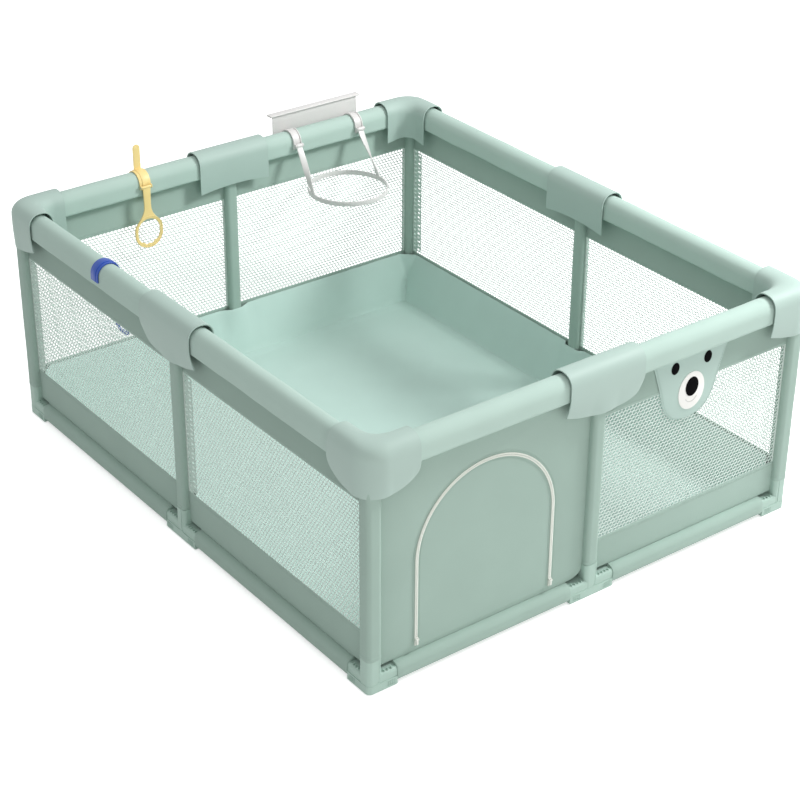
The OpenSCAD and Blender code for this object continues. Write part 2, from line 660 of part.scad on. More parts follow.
// A handle hangs from its pin: barrel, stem and an oval ring with a waved finger grip
stem_w = 27;
stem_t = 4.5;
module pull_handle() translate([0, pin_y, pin_z]) {
    barrel = clip_w - 2 * ear_t - 1;
    ring_z = -pull_len + pull_ring_h / 2;
    difference() {
        union() {
            translate([-barrel / 2, 0, 0]) rotate([0, 90, 0]) cylinder(h = barrel, r = pin_d / 2 + 1.8);
            translate([0, stem_t / 2, 0]) rotate([90, 0, 0]) linear_extrude(stem_t) difference() {
                union() {
                    polygon([[-stem_w / 2, 0], [stem_w / 2, 0], [stem_w / 2 - 2, -60],
                        [stem_w / 2, ring_z + pull_ring_h / 2 + 8], [pull_ring_w / 2 - 8, ring_z + 24],
                        [-pull_ring_w / 2 + 8, ring_z + 24], [-stem_w / 2, ring_z + pull_ring_h / 2 + 8],
                        [-stem_w / 2 + 2, -60]]);
                    translate([0, ring_z]) stadium(pull_ring_w, pull_ring_h, pull_ring_w / 2 - 1);
                }
                translate([0, ring_z]) difference() {
                    stadium(pull_ring_w - 22, pull_ring_h - 22, pull_ring_w / 2 - 12);
                    // finger wave on the ring's lower side
                    for (x = [-20, 0, 20]) translate([x, -pull_ring_h / 2 + 8]) circle(7);
                }
            }
        }
        translate([-clip_w, 0, 0]) rotate([0, 90, 0]) cylinder(h = 2 * clip_w, r = pin_d / 2 + 0.06);
    }
}
module pull_pin() translate([-clip_w / 2 - 1, pin_y, pin_z]) rotate([0, 90, 0]) cylinder(h = clip_w + 2, r = pin_d / 2);

module at_yellow() on_wall(2) translate([-yellow_x, 0, 0]) children();
module at_blue() on_wall(3) translate([-blue_y, 0, 0]) children();
yellow = [0.93, 0.82, 0.53];
blue = [0.10, 0.27, 0.62];
module yellow_clip() color(yellow) {
    at_yellow() pull_clip();
    // thumb tab that stands up behind the rail
    at_yellow() translate([0, -rail_w / 2 - seat, 0]) rotate([90, 0, 0]) linear_extrude(clip_t) {
        translate([-clip_w / 2 + 3, rail_z]) square([clip_w - 6, rail_h / 2 + thumb_h - clip_w / 2]);
        translate([0, rail_top + thumb_h - clip_w / 2]) circle(clip_w / 2 - 3);
    }
}
module yellow_ring() color(yellow) at_yellow() pull_handle();
module blue_clip() color(blue) at_blue() pull_clip();
module blue_ring() color(blue) at_blue() pull_handle();
module pull_ring_pins() color(steel) {
    at_yellow() pull_pin();
    at_blue() pull_pin();
}

// ---------- hoop ----------
module at_hoop() on_wall(2) translate([-hoop_x, 0, 0]) children();
hoop_arm_w = 16; // width of the hoop's flat arms at the pins
hoop_arm_t = 3.5;
hoop_r = hoop_d / 2;
hoop_z = pin_z - hoop_drop;  // underside of the hoop's band
module at_hooks() for (s = [0, 1]) mirror([s, 0, 0]) translate([hook_span / 2, 0, 0]) children();
board_y = -rail_w / 2 - seat - clip_t;  // hooks' outer face, where the backboard sits
hook_pin_y = rail_w / 2 + seat + clip_t + hoop_arm_w / 2 + 1;  // hoop's pin from the wall's plane
hoop_arm_x = hoop_r - hoop_t - hook_span / 2;  // inner face of an arm, from the middle of its hook
hook_ear_t = 3.5;
module hoop_hooks() color("white") at_hoop() at_hooks() difference() {
    union() {
        bar(-hook_w / 2, hook_w / 2, rail_z) mirror([1, 0]) clip_section(clip_t, -16, -24);
        // raised rims along both edges
        for (x = [-hook_w / 2, hook_w / 2 - 3]) bar(x, x + 3, rail_z) mirror([1, 0]) difference() {
            clip_section(clip_t + 2, -16, -4);
            rail_shape(0.5);
            translate([4, -rail_h]) square([rail_w, 2 * rail_h]);
        }
        // two ears that hold the hinge pin on both sides of the arm
        for (x = [hoop_arm_x - seat - hook_ear_t, hoop_arm_x + hoop_t + seat]) {
            translate([x, rail_w / 2 + seat + 1, pin_z - 6])
                cube([hook_ear_t, hook_pin_y - rail_w / 2 - seat - 1, 12]);
            translate([x, hook_pin_y, pin_z]) rotate([0, 90, 0]) cylinder(h = hook_ear_t, r = 6);
        }
    }
    translate([-hook_w, hook_pin_y, pin_z]) rotate([0, 90, 0]) cylinder(h = 2 * hook_w, r = pin_d / 2);
}
module hoop_pins() color("white") at_hoop() at_hooks()
    translate([hoop_arm_x - seat - hook_ear_t - 0.8, hook_pin_y, pin_z]) rotate([0, 90, 0])
        cylinder(h = hoop_t + 2 * seat + 2 * hook_ear_t + 1.6, r = pin_d / 2);
// Backboard: a strip with a broad rolled rim along its top, standing behind the rail
board_rim = 6;   // thickness of the rim
board_t = 3;
module hoop_backboard() color("white") at_hoop() {
    low = rail_z - 20;
    rim_z = rail_top + board_rise - board_rim / 2;
    bar(-board_w / 2 + 9, board_w / 2 - 9, 0) mirror([1, 0]) {
        translate([0.3 - board_y, low]) square([board_t, rim_z - low]);
        // cove under the rim
        difference() {
            translate([board_t - board_y, rim_z - 9]) square([9, 9]);
            translate([board_t + 9.3 - board_y, rim_z - 9.3]) circle(9);
        }
    }
    bar(-board_w / 2, board_w / 2, rim_z) mirror([1, 0])
        translate([7.3 - board_y, 0]) stadium(26, board_rim, board_rim / 2 - 0.2);
}
module hoop_ring() color("white") at_hoop() {
    difference() {
        translate([0, hoop_out, hoop_z]) cylinder(h = hoop_band, r = hoop_r, $fn = 96);
        translate([0, hoop_out, hoop_z - 1]) cylinder(h = hoop_band + 2, r = hoop_r - hoop_t, $fn = 96);
    }
    at_hooks() difference() {
        translate([hoop_arm_x, 0, 0]) rotate([90, 0, 90]) linear_extrude(hoop_t) hull() {
            translate([hook_pin_y, pin_z]) circle(hoop_arm_w / 2, $fn = 32);
            translate([hoop_out - 4, hoop_z + 5]) circle(5, $fn = 32);
        }
        translate([-hook_w, hook_pin_y, pin_z]) rotate([0, 90, 0])
            cylinder(h = 2 * hook_w, r = pin_d / 2 + 0.06);
    }
}

post_tubes();
top_rail_tubes();
bottom_rail_tubes();
top_rail_foam();
corner_post_sleeves();
mid_post_sleeves();
rail_sleeve_front();
rail_sleeve_back();
rail_sleeve_left();
rail_sleeve_right();
sill_sleeves_short();
sill_sleeves_long();
corner_cap_front_left();
corner_cap_front_right();
corner_cap_back_left();
corner_cap_back_right();
mid_cap_front();
mid_cap_back();
mid_cap_left();
mid_cap_right();
corner_joints();
mid_joints();
corner_connectors();
mid_connectors();
rubber_feet();
upper_band_front();
upper_band_back();
upper_band_left();
upper_band_right();
net_front();
net_back();
net_left();
net_right();
lower_band_front();
lower_band_back();
lower_band_left();
lower_band_right();
floor_sheet();
floor_skirt();
door_panel();
zip_tape_fixed();
door_flap();
zip_tape_moving();
zip_slider_left();
zip_slider_right();
zip_pull_left();
zip_pull_right();
bear_apron();
bear_muzzle();
bear_features();
yellow_clip();
yellow_ring();
blue_clip();
blue_ring();
pull_ring_pins();
hoop_hooks();
hoop_backboard();
hoop_pins();
hoop_ring();
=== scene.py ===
"""A square play yard: the soft goods, moulded covers and toys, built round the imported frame.

Every length is in metres, in the frame's own axes: +Z up, the doorway on the -Y wall.
"""

from __future__ import annotations

import logging
from dataclasses import dataclass, field
from enum import Enum
from math import acos, atan, atan2, copysign, cos, exp, hypot, pi, radians, sin, sqrt, tan
from typing import Callable, Optional, Sequence

import bmesh
import bpy
import numpy as np
from bpy.types import Material, Mesh, Node, NodeSocket, NodeTree, Object
from mathutils import Matrix, Vector, noise

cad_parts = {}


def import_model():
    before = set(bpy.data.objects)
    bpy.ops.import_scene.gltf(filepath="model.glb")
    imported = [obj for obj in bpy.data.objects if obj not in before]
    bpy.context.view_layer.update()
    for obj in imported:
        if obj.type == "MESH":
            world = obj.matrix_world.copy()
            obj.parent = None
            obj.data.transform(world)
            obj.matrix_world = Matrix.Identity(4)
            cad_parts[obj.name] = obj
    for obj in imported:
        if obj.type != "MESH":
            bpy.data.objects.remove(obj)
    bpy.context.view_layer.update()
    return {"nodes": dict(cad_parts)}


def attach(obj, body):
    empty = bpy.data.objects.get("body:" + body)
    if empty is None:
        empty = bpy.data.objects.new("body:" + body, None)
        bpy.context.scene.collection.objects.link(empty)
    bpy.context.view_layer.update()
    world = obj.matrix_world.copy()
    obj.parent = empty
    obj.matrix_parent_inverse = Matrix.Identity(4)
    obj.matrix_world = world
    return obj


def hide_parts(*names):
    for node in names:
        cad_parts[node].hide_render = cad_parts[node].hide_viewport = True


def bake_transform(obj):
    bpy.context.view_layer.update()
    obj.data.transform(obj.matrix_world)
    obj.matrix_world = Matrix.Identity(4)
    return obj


LOG = logging.getLogger("play_yard")
MM = 0.001
WELD = 1e-6  # points nearer than this are one
Place = Callable[[np.ndarray], np.ndarray]  # turns a piece's points into the yard's axes
Pair = tuple[float, float]
Triple = tuple[float, float, float]
Four = tuple[float, float, float, float]
Loops = Sequence[np.ndarray]  # closed outlines, or lines


# -------- plan of the yard
class Wall(Enum):
    """The four walls, numbered anticlockwise from the doorway."""

    FRONT = 0
    RIGHT = 1
    BACK = 2
    LEFT = 3

    @property
    def half(self) -> float:
        """Half of the wall's length between its corner posts."""
        return PLAN.half_w if self.value % 2 == 0 else PLAN.half_l

    @property
    def out(self) -> float:
        """Distance of the wall's plane from the middle of the yard."""
        return PLAN.half_l if self.value % 2 == 0 else PLAN.half_w

    @property
    def label(self) -> str:
        """The wall's name in piece names."""
        return self.name.lower()


@dataclass(frozen=True)
class YardPlan:
    """Sizes that several sub-assemblies share."""

    half_w: float = 0.715
    half_l: float = 0.865
    top: float = 0.716
    rail_w: float = 0.066
    rail_h: float = 0.07
    rail_top: float = 0.705
    sill_w: float = 0.048
    sill_h: float = 0.055
    sill_lift: float = 0.006
    foot_arm: float = 0.068
    mid_foot_arm: float = 0.075
    foot_h: float = 0.1
    post_w: float = 0.041
    sleeve_end: float = 0.047
    joint_low: float = 0.615
    net_low: float = 0.16
    net_high: float = 0.535
    pin_z: float = 0.668
    tuck: float = 0.001
    hair: float = 0.0004

    @property
    def rail_z(self) -> float:
        """Height of the rail's axis."""
        return self.rail_top - self.rail_h / 2

    @property
    def rail_low(self) -> float:
        """Height of the rail's underside."""
        return self.rail_top - self.rail_h

    @property
    def cloth_top(self) -> float:
        """Height of the walls' upper edge, which is tucked into the rail's sleeve."""
        return self.rail_low + self.tuck

    @property
    def sill_z(self) -> float:
        """Height of the bottom rail's axis."""
        return self.sill_lift + self.sill_h / 2

    @property
    def sill_top(self) -> float:
        """Height of the bottom rail's upper side."""
        return self.sill_lift + self.sill_h

    @property
    def net_mid(self) -> float:
        """Height of the nets' middle."""
        return (self.net_low + self.net_high) / 2

    @property
    def side_gap(self) -> float:
        """Distance of a wall's cloth from a post's axis: its edge is sewn into the post's sleeve."""
        return self.post_w / 2 - self.hair


PLAN = YardPlan()


def on_wall(wall: Wall, points: np.ndarray) -> np.ndarray:
    """Turns points drawn on a wall into the yard's axes.

    Args:
        wall: The wall that the points belong to.
        points: Points with X along the wall and the outside at -Y, in any array shape.

    Returns:
        The same points on that wall.
    """
    turn = radians(90 * wall.value)
    c, s = cos(turn), sin(turn)
    x, y, z = points[..., 0], points[..., 1] - wall.out, points[..., 2]
    return np.stack([x * c - y * s, x * s + y * c, z], axis=-1)


def on_corner(right: bool, back: bool, points: np.ndarray) -> np.ndarray:
    """Turns points drawn at the front left corner, arms along +X and +Y, into another corner's place."""
    sign = np.array([-1.0 if right else 1.0, -1.0 if back else 1.0, 1.0])
    place = np.array([PLAN.half_w if right else -PLAN.half_w, PLAN.half_l if back else -PLAN.half_l, 0.0])
    return points * sign + place


# -------- shapes
def rounded(corners: Sequence[Triple], steps: int = 6) -> np.ndarray:
    """Closed outline through corners that are each rounded to their own radius.

    Args:
        corners: X, Y and radius of each corner, in order.
        steps: Facets of each rounding.

    Returns:
        The outline's points, one row each.
    """
    straight = 1.569  # half a corner's angle from which there is nothing to round
    points: list[np.ndarray] = []
    for i, (x, y, radius) in enumerate(corners):
        here = np.array((x, y))
        one = np.array(corners[i - 1][:2]) - here
        two = np.array(corners[(i + 1) % len(corners)][:2]) - here
        one, two = one / np.linalg.norm(one), two / np.linalg.norm(two)
        half = acos(float(np.clip(one @ two, -1, 1))) / 2
        if radius <= 0 or half > straight:
            points.append(here)
            continue
        centre = here + (one + two) / np.linalg.norm(one + two) * radius / sin(half)
        reach = radius / tan(half)
        a, b = here + one * reach - centre, here + two * reach - centre
        start = atan2(a[1], a[0])
        sweep = (atan2(b[1], b[0]) - start + pi) % (2 * pi) - pi
        for angle in (start + sweep * s / steps for s in range(steps + 1)):
            points.append(centre + radius * np.array((cos(angle), sin(angle))))
    return np.array(points)


def evened(loop: np.ndarray, count: int) -> np.ndarray:
    """The same closed outline with its points spaced evenly along it."""
    ring = np.vstack([loop, loop[:1]])
    run = np.concatenate([[0.0], np.cumsum(np.linalg.norm(np.diff(ring, axis=0), axis=1))])
    at = np.linspace(0, run[-1], count, endpoint=False)
    return np.stack([np.interp(at, run, ring[:, k]) for k in range(ring.shape[1])], axis=1)


def wander(x: float, y: float, z: float, size: float) -> float:
    """Smooth noise from -1 to 1 whose swells are about size metres across."""
    return noise.noise(Vector((x / size, y / size, z / size)))


@dataclass
class Shape:
    """Points, faces and a cloth map in metres that grow strip by strip."""

    points: list = field(default_factory=list)
    faces: list = field(default_factory=list)
    cloth: list = field(default_factory=list)

    def face(self, corners: Sequence[int]) -> None:
        """Adds one face between points that are already there."""
        self.faces.append(tuple(corners))
        self.cloth += [(self.points[c][0], self.points[c][2]) for c in corners]

    def grid(self, rows: np.ndarray, wrap: bool = False, ends: bool = False) -> Shape:
        """Adds a sheet of quads over rows of points.

        Args:
            rows: Points as an array of rows, columns and three coordinates.
            wrap: Whether each row closes on itself.
            ends: Whether the first and last row are filled.

        Returns:
            This shape, so that calls can be chained.
        """
        rows = np.asarray(rows, float)
        m, n = rows.shape[:2]
        base = len(self.points)
        self.points += [tuple(p) for p in rows.reshape(-1, 3)]
        ring = np.concatenate([rows, rows[:, :1]], axis=1) if wrap else rows
        u = np.concatenate([[0.0], np.cumsum(np.linalg.norm(np.diff(ring, axis=1), axis=2).mean(axis=0))])
        v = np.concatenate([[0.0], np.cumsum(np.linalg.norm(np.diff(rows, axis=0), axis=2).mean(axis=1))])
        for i in range(m - 1):
            for j in range(n if wrap else n - 1):
                k = (j + 1) % n
                here, over = base + i * n, base + (i + 1) * n
                self.faces.append((here + j, here + k, over + k, over + j))
                self.cloth += [(u[j], v[i]), (u[j + 1], v[i]), (u[j + 1], v[i + 1]), (u[j], v[i + 1])]
        if ends:
            self.face([base + j for j in range(n - 1, -1, -1)])
            self.face([base + (m - 1) * n + j for j in range(n)])
        return self

    def copy(self, move: Place) -> Shape:
        """A new shape with this one's points moved, and its faces and cloth map."""
        return Shape([tuple(p) for p in move(np.array(self.points, float))], list(self.faces), list(self.cloth))

    def __add__(self, other: Shape) -> Shape:
        """Both shapes as one."""
        base = len(self.points)
        faces = [tuple(c + base for c in face) for face in other.faces]
        return Shape(self.points + other.points, self.faces + faces, self.cloth + other.cloth)

    def build(self, name: str, finish: Material, crease: float = 38.0) -> Object:
        """Makes the mesh, its normals outwards, shaded smooth but for creases.

        Args:
            name: The piece's name.
            finish: The material of the whole piece.
            crease: Angle in degrees past which an edge is sharp.

        Returns:
            The new object, at the origin.
        """
        mesh = bpy.data.meshes.new(name)
        mesh.from_pydata(self.points, [], self.faces)
        layer = mesh.uv_layers.new(name="cloth")
        layer.data.foreach_set("uv", np.array(self.cloth, np.float32).ravel())
        outwards(mesh, WELD)
        mesh.materials.append(finish)
        return link(name, mesh, crease)


def outwards(mesh: Mesh, weld: float = 0.0) -> None:
    """Turns a mesh's faces outwards, after points that lie within weld of each other were made one."""
    work = bmesh.new()
    work.from_mesh(mesh)
    if weld > 0:
        bmesh.ops.remove_doubles(work, verts=work.verts, dist=weld)
    bmesh.ops.recalc_face_normals(work, faces=work.faces)
    work.to_mesh(mesh)
    work.free()


def shade(mesh: Mesh, crease: float) -> None:
    """Shades a mesh smooth but for edges that are sharper than crease, in degrees."""
    mesh.shade_smooth()
    mesh.set_sharp_from_angle(angle=radians(crease))


def add(name: str, data: bpy.types.ID) -> Object:
    """Puts data into the scene as an object at the origin."""
    piece = bpy.data.objects.new(name, data)
    bpy.context.scene.collection.objects.link(piece)
    return piece


def link(name: str, mesh: Mesh, crease: float) -> Object:
    """Puts a mesh into the scene as an object at the origin, shaded smooth but for creases."""
    shade(mesh, crease)
    return add(name, mesh)


def settle(piece: Object, crease: float = 38.0) -> Object:
    """Turns a piece's modifiers into plain mesh and removes them."""
    bpy.context.view_layer.update()
    depsgraph = bpy.context.evaluated_depsgraph_get()
    mesh = bpy.data.meshes.new_from_object(piece.evaluated_get(depsgraph), preserve_all_data_layers=True,
                                           depsgraph=depsgraph)
    piece.modifiers.clear()
    piece.data = mesh
    shade(mesh, crease)
    return piece


def bevel(piece: Object, width: float, segments: int = 2) -> None:
    """Adds the modifier that rounds a piece's sharp edges to a radius of about width."""
    edges = piece.modifiers.new("soft_edges", "BEVEL")
    edges.width, edges.segments = width, segments
    edges.limit_method, edges.angle_limit = "ANGLE", radians(50)


def thicken(piece: Object, thickness: float, rim: float) -> Object:
    """Gives a sheet its thickness on both sides and rounds its rim."""
    solid = piece.modifiers.new("thickness", "SOLIDIFY")
    solid.thickness, solid.offset, solid.use_even_offset = thickness, 0.0, False
    bevel(piece, rim)
    return settle(piece)


def soften(piece: Object, width: float, segments: int = 2) -> Object:
    """Rounds a piece's sharp edges to a radius of about width."""
    bevel(piece, width, segments)
    return settle(piece, 60.0)


def plate(outlines: Loops, depth: float, edge: float, place: Place, name: str,
          finish: Material) -> Object:
    """A flat plate with rounded edges, cut from outlines of which the inner ones are holes.

    Args:
        outlines: Closed outlines in the plate's own X and Y.
        depth: Thickness of the plate.
        edge: Radius of its rounded edges.
        place: Turns points of the plate, its thickness along Z from 0, into the yard's axes.
        name: The piece's name.
        finish: The material of the plate.

    Returns:
        The new object, at the origin.
    """
    curve = bpy.data.curves.new(name, "CURVE")
    curve.dimensions, curve.fill_mode = "2D", "BOTH"
    curve.extrude, curve.bevel_depth, curve.bevel_resolution = depth / 2 - edge, edge, 2
    curve.offset = -edge
    for outline in outlines:
        spline = curve.splines.new("POLY")
        spline.points.add(len(outline) - 1)
        for point, (x, y) in zip(spline.points, outline):
            point.co = (x, y, 0, 1)
        spline.use_cyclic_u = True
    holder = add(name, curve)
    bpy.context.view_layer.update()
    depsgraph = bpy.context.evaluated_depsgraph_get()
    mesh = bpy.data.meshes.new_from_object(holder.evaluated_get(depsgraph), depsgraph=depsgraph)
    bpy.data.objects.remove(holder)
    bpy.data.curves.remove(curve)
    points = np.array([v.co for v in mesh.vertices], float) + (0, 0, depth / 2)
    mesh.vertices.foreach_set("co", place(points).astype(np.float32).ravel())
    outwards(mesh, WELD)
    mesh.materials.clear()
    mesh.materials.append(finish)
    mesh.uv_layers.new(name="cloth")
    return link(name, mesh, 60.0)


def join(name: str, pieces: Sequence[Object]) -> Object:
    """Makes one object of several and gives it a name."""
    first = pieces[0]
    with bpy.context.temp_override(active_object=first, selected_editable_objects=list(pieces), object=first):
        bpy.ops.object.join()
    first.name = name
    first.data.name = name
    return first


# -------- node trees
def add_node(tree: NodeTree, kind: str, settings: Optional[dict] = None,
             links: Optional[dict] = None) -> Node:
    """Adds a node to a tree.

    Args:
        tree: The tree that gets the node.
        kind: The node's type name.
        settings: Values by the name or number of an input, or by the name of a property.
        links: Output sockets by the name or number of the input that they feed.

    Returns:
        The new node.
    """
    node = tree.nodes.new(kind)
    for key, value in (settings or {}).items():
        if isinstance(key, int) or key in node.inputs:
            node.inputs[key].default_value = value
        else:
            setattr(node, key, value)
    for key, source in (links or {}).items():
        tree.links.new(source, node.inputs[key])
    return node


def linear(code: str) -> Four:
    """An sRGB hex colour as the linear one that shaders take."""
    parts = [int(code[i:i + 2], 16) / 255 for i in (0, 2, 4)]
    return tuple(c / 12.92 if c <= 0.04045 else ((c + 0.055) / 1.055) ** 2.4 for c in parts) + (1.0,)


def wave_scale(period: float) -> float:
    """Scale of a wave texture whose bands lie a period apart, in metres."""
    return pi / 10 / period


# -------- finishes
@dataclass(frozen=True)
class Finish:
    """What every finish has: its name, the record's slot, its colour and its shine."""

    name: str
    slot: str
    colour: str
    roughness: float = 0.5
    relief: float = 0.0

    def start(self) -> tuple[NodeTree, Node, NodeSocket, Material]:
        """Makes the material, its shader with the finish's colour and roughness, and the piece's own axes."""
        material = bpy.data.materials.new(self.name)
        material.use_nodes = True
        tree = material.node_tree
        tree.nodes.clear()
        shader = add_node(tree, "ShaderNodeBsdfPrincipled",
                          {"Base Color": linear(self.colour), "Roughness": self.roughness})
        add_node(tree, "ShaderNodeOutputMaterial", links={"Surface": shader.outputs["BSDF"]})
        material.diffuse_color = linear(self.colour)
        return tree, shader, add_node(tree, "ShaderNodeTexCoord").outputs["Object"], material

    def tone(self, tree: NodeTree, shader: Node, factor: NodeSocket, darker: float, lighter: float) -> None:
        """Lets the colour run between a darker and a lighter tone as a factor goes from 0 to 1."""
        base = linear(self.colour)
        ramp = add_node(tree, "ShaderNodeValToRGB", links={"Fac": factor})
        for element, share in zip(ramp.color_ramp.elements, (darker, lighter)):
            element.color = tuple(min(1.0, c * share) for c in base[:3]) + (1.0,)
        tree.links.new(ramp.outputs["Color"], shader.inputs["Base Color"])

    def bump(self, tree: NodeTree, shader: Node, height: NodeSocket, strength: float) -> None:
        """Raises the surface by the finish's relief as a height goes from 0 to 1."""
        bump = add_node(tree, "ShaderNodeBump", {"Strength": strength, "Distance": self.relief},
                        {"Height": height})
        tree.links.new(bump.outputs["Normal"], shader.inputs["Normal"])


@dataclass(frozen=True)
class WovenCloth(Finish):
    """Plain woven polyester with a sealed face: threads cross over and under, and the face is matt."""

    thread: float = 2.4 * MM
    relief: float = 0.00018
    sheen: float = 0.15
    blotch: float = 0.03
    gloss: float = 0.3
    mapped: bool = True

    def make(self) -> Material:
        """Makes the cloth: a crossed weave in the bump, slow swells in the tone."""
        tree, shader, where, material = self.start()
        cloth = where.node.outputs["UV"] if self.mapped else where
        warp, weft = (add_node(tree, "ShaderNodeTexWave",
                               {"bands_direction": way, "Scale": wave_scale(self.thread), "Distortion": 0.6,
                                "Detail": 1.0}, {"Vector": cloth}) for way in ("X", "Y"))
        weave = add_node(tree, "ShaderNodeMath", {"operation": "MAXIMUM"},
                         {0: warp.outputs["Fac"], 1: weft.outputs["Fac"]})
        # slow swells a hand wide, as sewn cloth has them
        swell = add_node(tree, "ShaderNodeTexNoise", {"Scale": 7.0, "Detail": 2.0}, {"Vector": where})
        mixed = add_node(tree, "ShaderNodeMath", {"operation": "MULTIPLY_ADD", 1: 0.12},
                         {0: weave.outputs[0], 2: swell.outputs["Fac"]})
        self.tone(tree, shader, mixed.outputs[0], 1 - 2 * self.blotch, 1 + self.blotch)
        self.bump(tree, shader, weave.outputs[0], 0.35)
        shader.inputs["Sheen Weight"].default_value = self.sheen
        shader.inputs["Sheen Roughness"].default_value = 0.5
        shader.inputs["Specular IOR Level"].default_value = self.gloss
        return material


@dataclass(frozen=True)
class MouldedPlastic(Finish):
    """Injection moulded plastic: an even colour and a fine spark-eroded grain."""

    grain: float = 1.1 * MM
    relief: float = 0.00006
    ior: float = 1.49

    def make(self) -> Material:
        """Makes the plastic: fine grain in the bump, faint clouds in tone and gloss."""
        tree, shader, where, material = self.start()
        grain = add_node(tree, "ShaderNodeTexNoise", {"Scale": 1 / self.grain, "Detail": 1.0},
                         {"Vector": where})
        cloud = add_node(tree, "ShaderNodeTexNoise", {"Scale": 9.0, "Detail": 3.0}, {"Vector": where})
        self.tone(tree, shader, cloud.outputs["Fac"], 0.97, 1.02)
        gloss = add_node(tree, "ShaderNodeMapRange",
                         {"To Min": self.roughness - 0.05, "To Max": self.roughness + 0.06},
                         {"Value": cloud.outputs["Fac"]})
        tree.links.new(gloss.outputs["Result"], shader.inputs["Roughness"])
        self.bump(tree, shader, grain.outputs["Fac"], 0.25)
        shader.inputs["IOR"].default_value = self.ior
        return material


@dataclass(frozen=True)
class ZincTube(Finish):
    """Galvanised steel tube: grey metal with pale spangles and drawing marks."""

    spangle: float = 9 * MM

    def make(self) -> Material:
        """Makes the metal: spangles in tone and gloss."""
        tree, shader, where, material = self.start()
        cells = add_node(tree, "ShaderNodeTexVoronoi", {"Scale": 1 / self.spangle}, {"Vector": where})
        self.tone(tree, shader, cells.outputs["Distance"], 0.86, 1.06)
        gloss = add_node(tree, "ShaderNodeMapRange",
                         {"To Min": self.roughness - 0.08, "To Max": self.roughness + 0.1},
                         {"Value": cells.outputs["Distance"]})
        tree.links.new(gloss.outputs["Result"], shader.inputs["Roughness"])
        shader.inputs["Metallic"].default_value = 1.0
        return material


@dataclass(frozen=True)
class CellFoam(Finish):
    """Expanded polyethylene foam: white closed cells a millimetre or two across."""

    cell: float = 1.8 * MM
    relief: float = 0.0004

    def make(self) -> Material:
        """Makes the foam: its cells in the bump and tone."""
        tree, shader, where, material = self.start()
        cells = add_node(tree, "ShaderNodeTexVoronoi", {"Scale": 1 / self.cell}, {"Vector": where})
        self.tone(tree, shader, cells.outputs["Distance"], 0.9, 1.03)
        self.bump(tree, shader, cells.outputs["Distance"], 0.4)
        return material


@dataclass(frozen=True)
class TwistedYarn(Finish):
    """Knitted polyester yarn, heat set: pale, a little glossy along its filaments, and thin enough to glow."""

    ply: float = 1.6 * MM
    relief: float = 0.0002
    clear: float = 0.25

    def make(self) -> Material:
        """Makes the yarn: slanted ply lines in tone and bump."""
        tree, shader, where, material = self.start()
        ply = add_node(tree, "ShaderNodeTexWave", {"bands_direction": "DIAGONAL", "Distortion": 1.0,
                                                   "Scale": wave_scale(self.ply)}, {"Vector": where})
        self.tone(tree, shader, ply.outputs["Fac"], 0.94, 1.03)
        self.bump(tree, shader, ply.outputs["Fac"], 0.3)
        shader.inputs["Sheen Weight"].default_value = 0.2
        glow = add_node(tree, "ShaderNodeBsdfTranslucent", {"Color": linear(self.colour)})
        mixed = add_node(tree, "ShaderNodeMixShader", {"Fac": self.clear})
        tree.links.new(shader.outputs["BSDF"], mixed.inputs[1])
        tree.links.new(glow.outputs["BSDF"], mixed.inputs[2])
        surface = next(node for node in tree.nodes if node.type == "OUTPUT_MATERIAL").inputs["Surface"]
        tree.links.new(mixed.outputs["Shader"], surface)
        return material


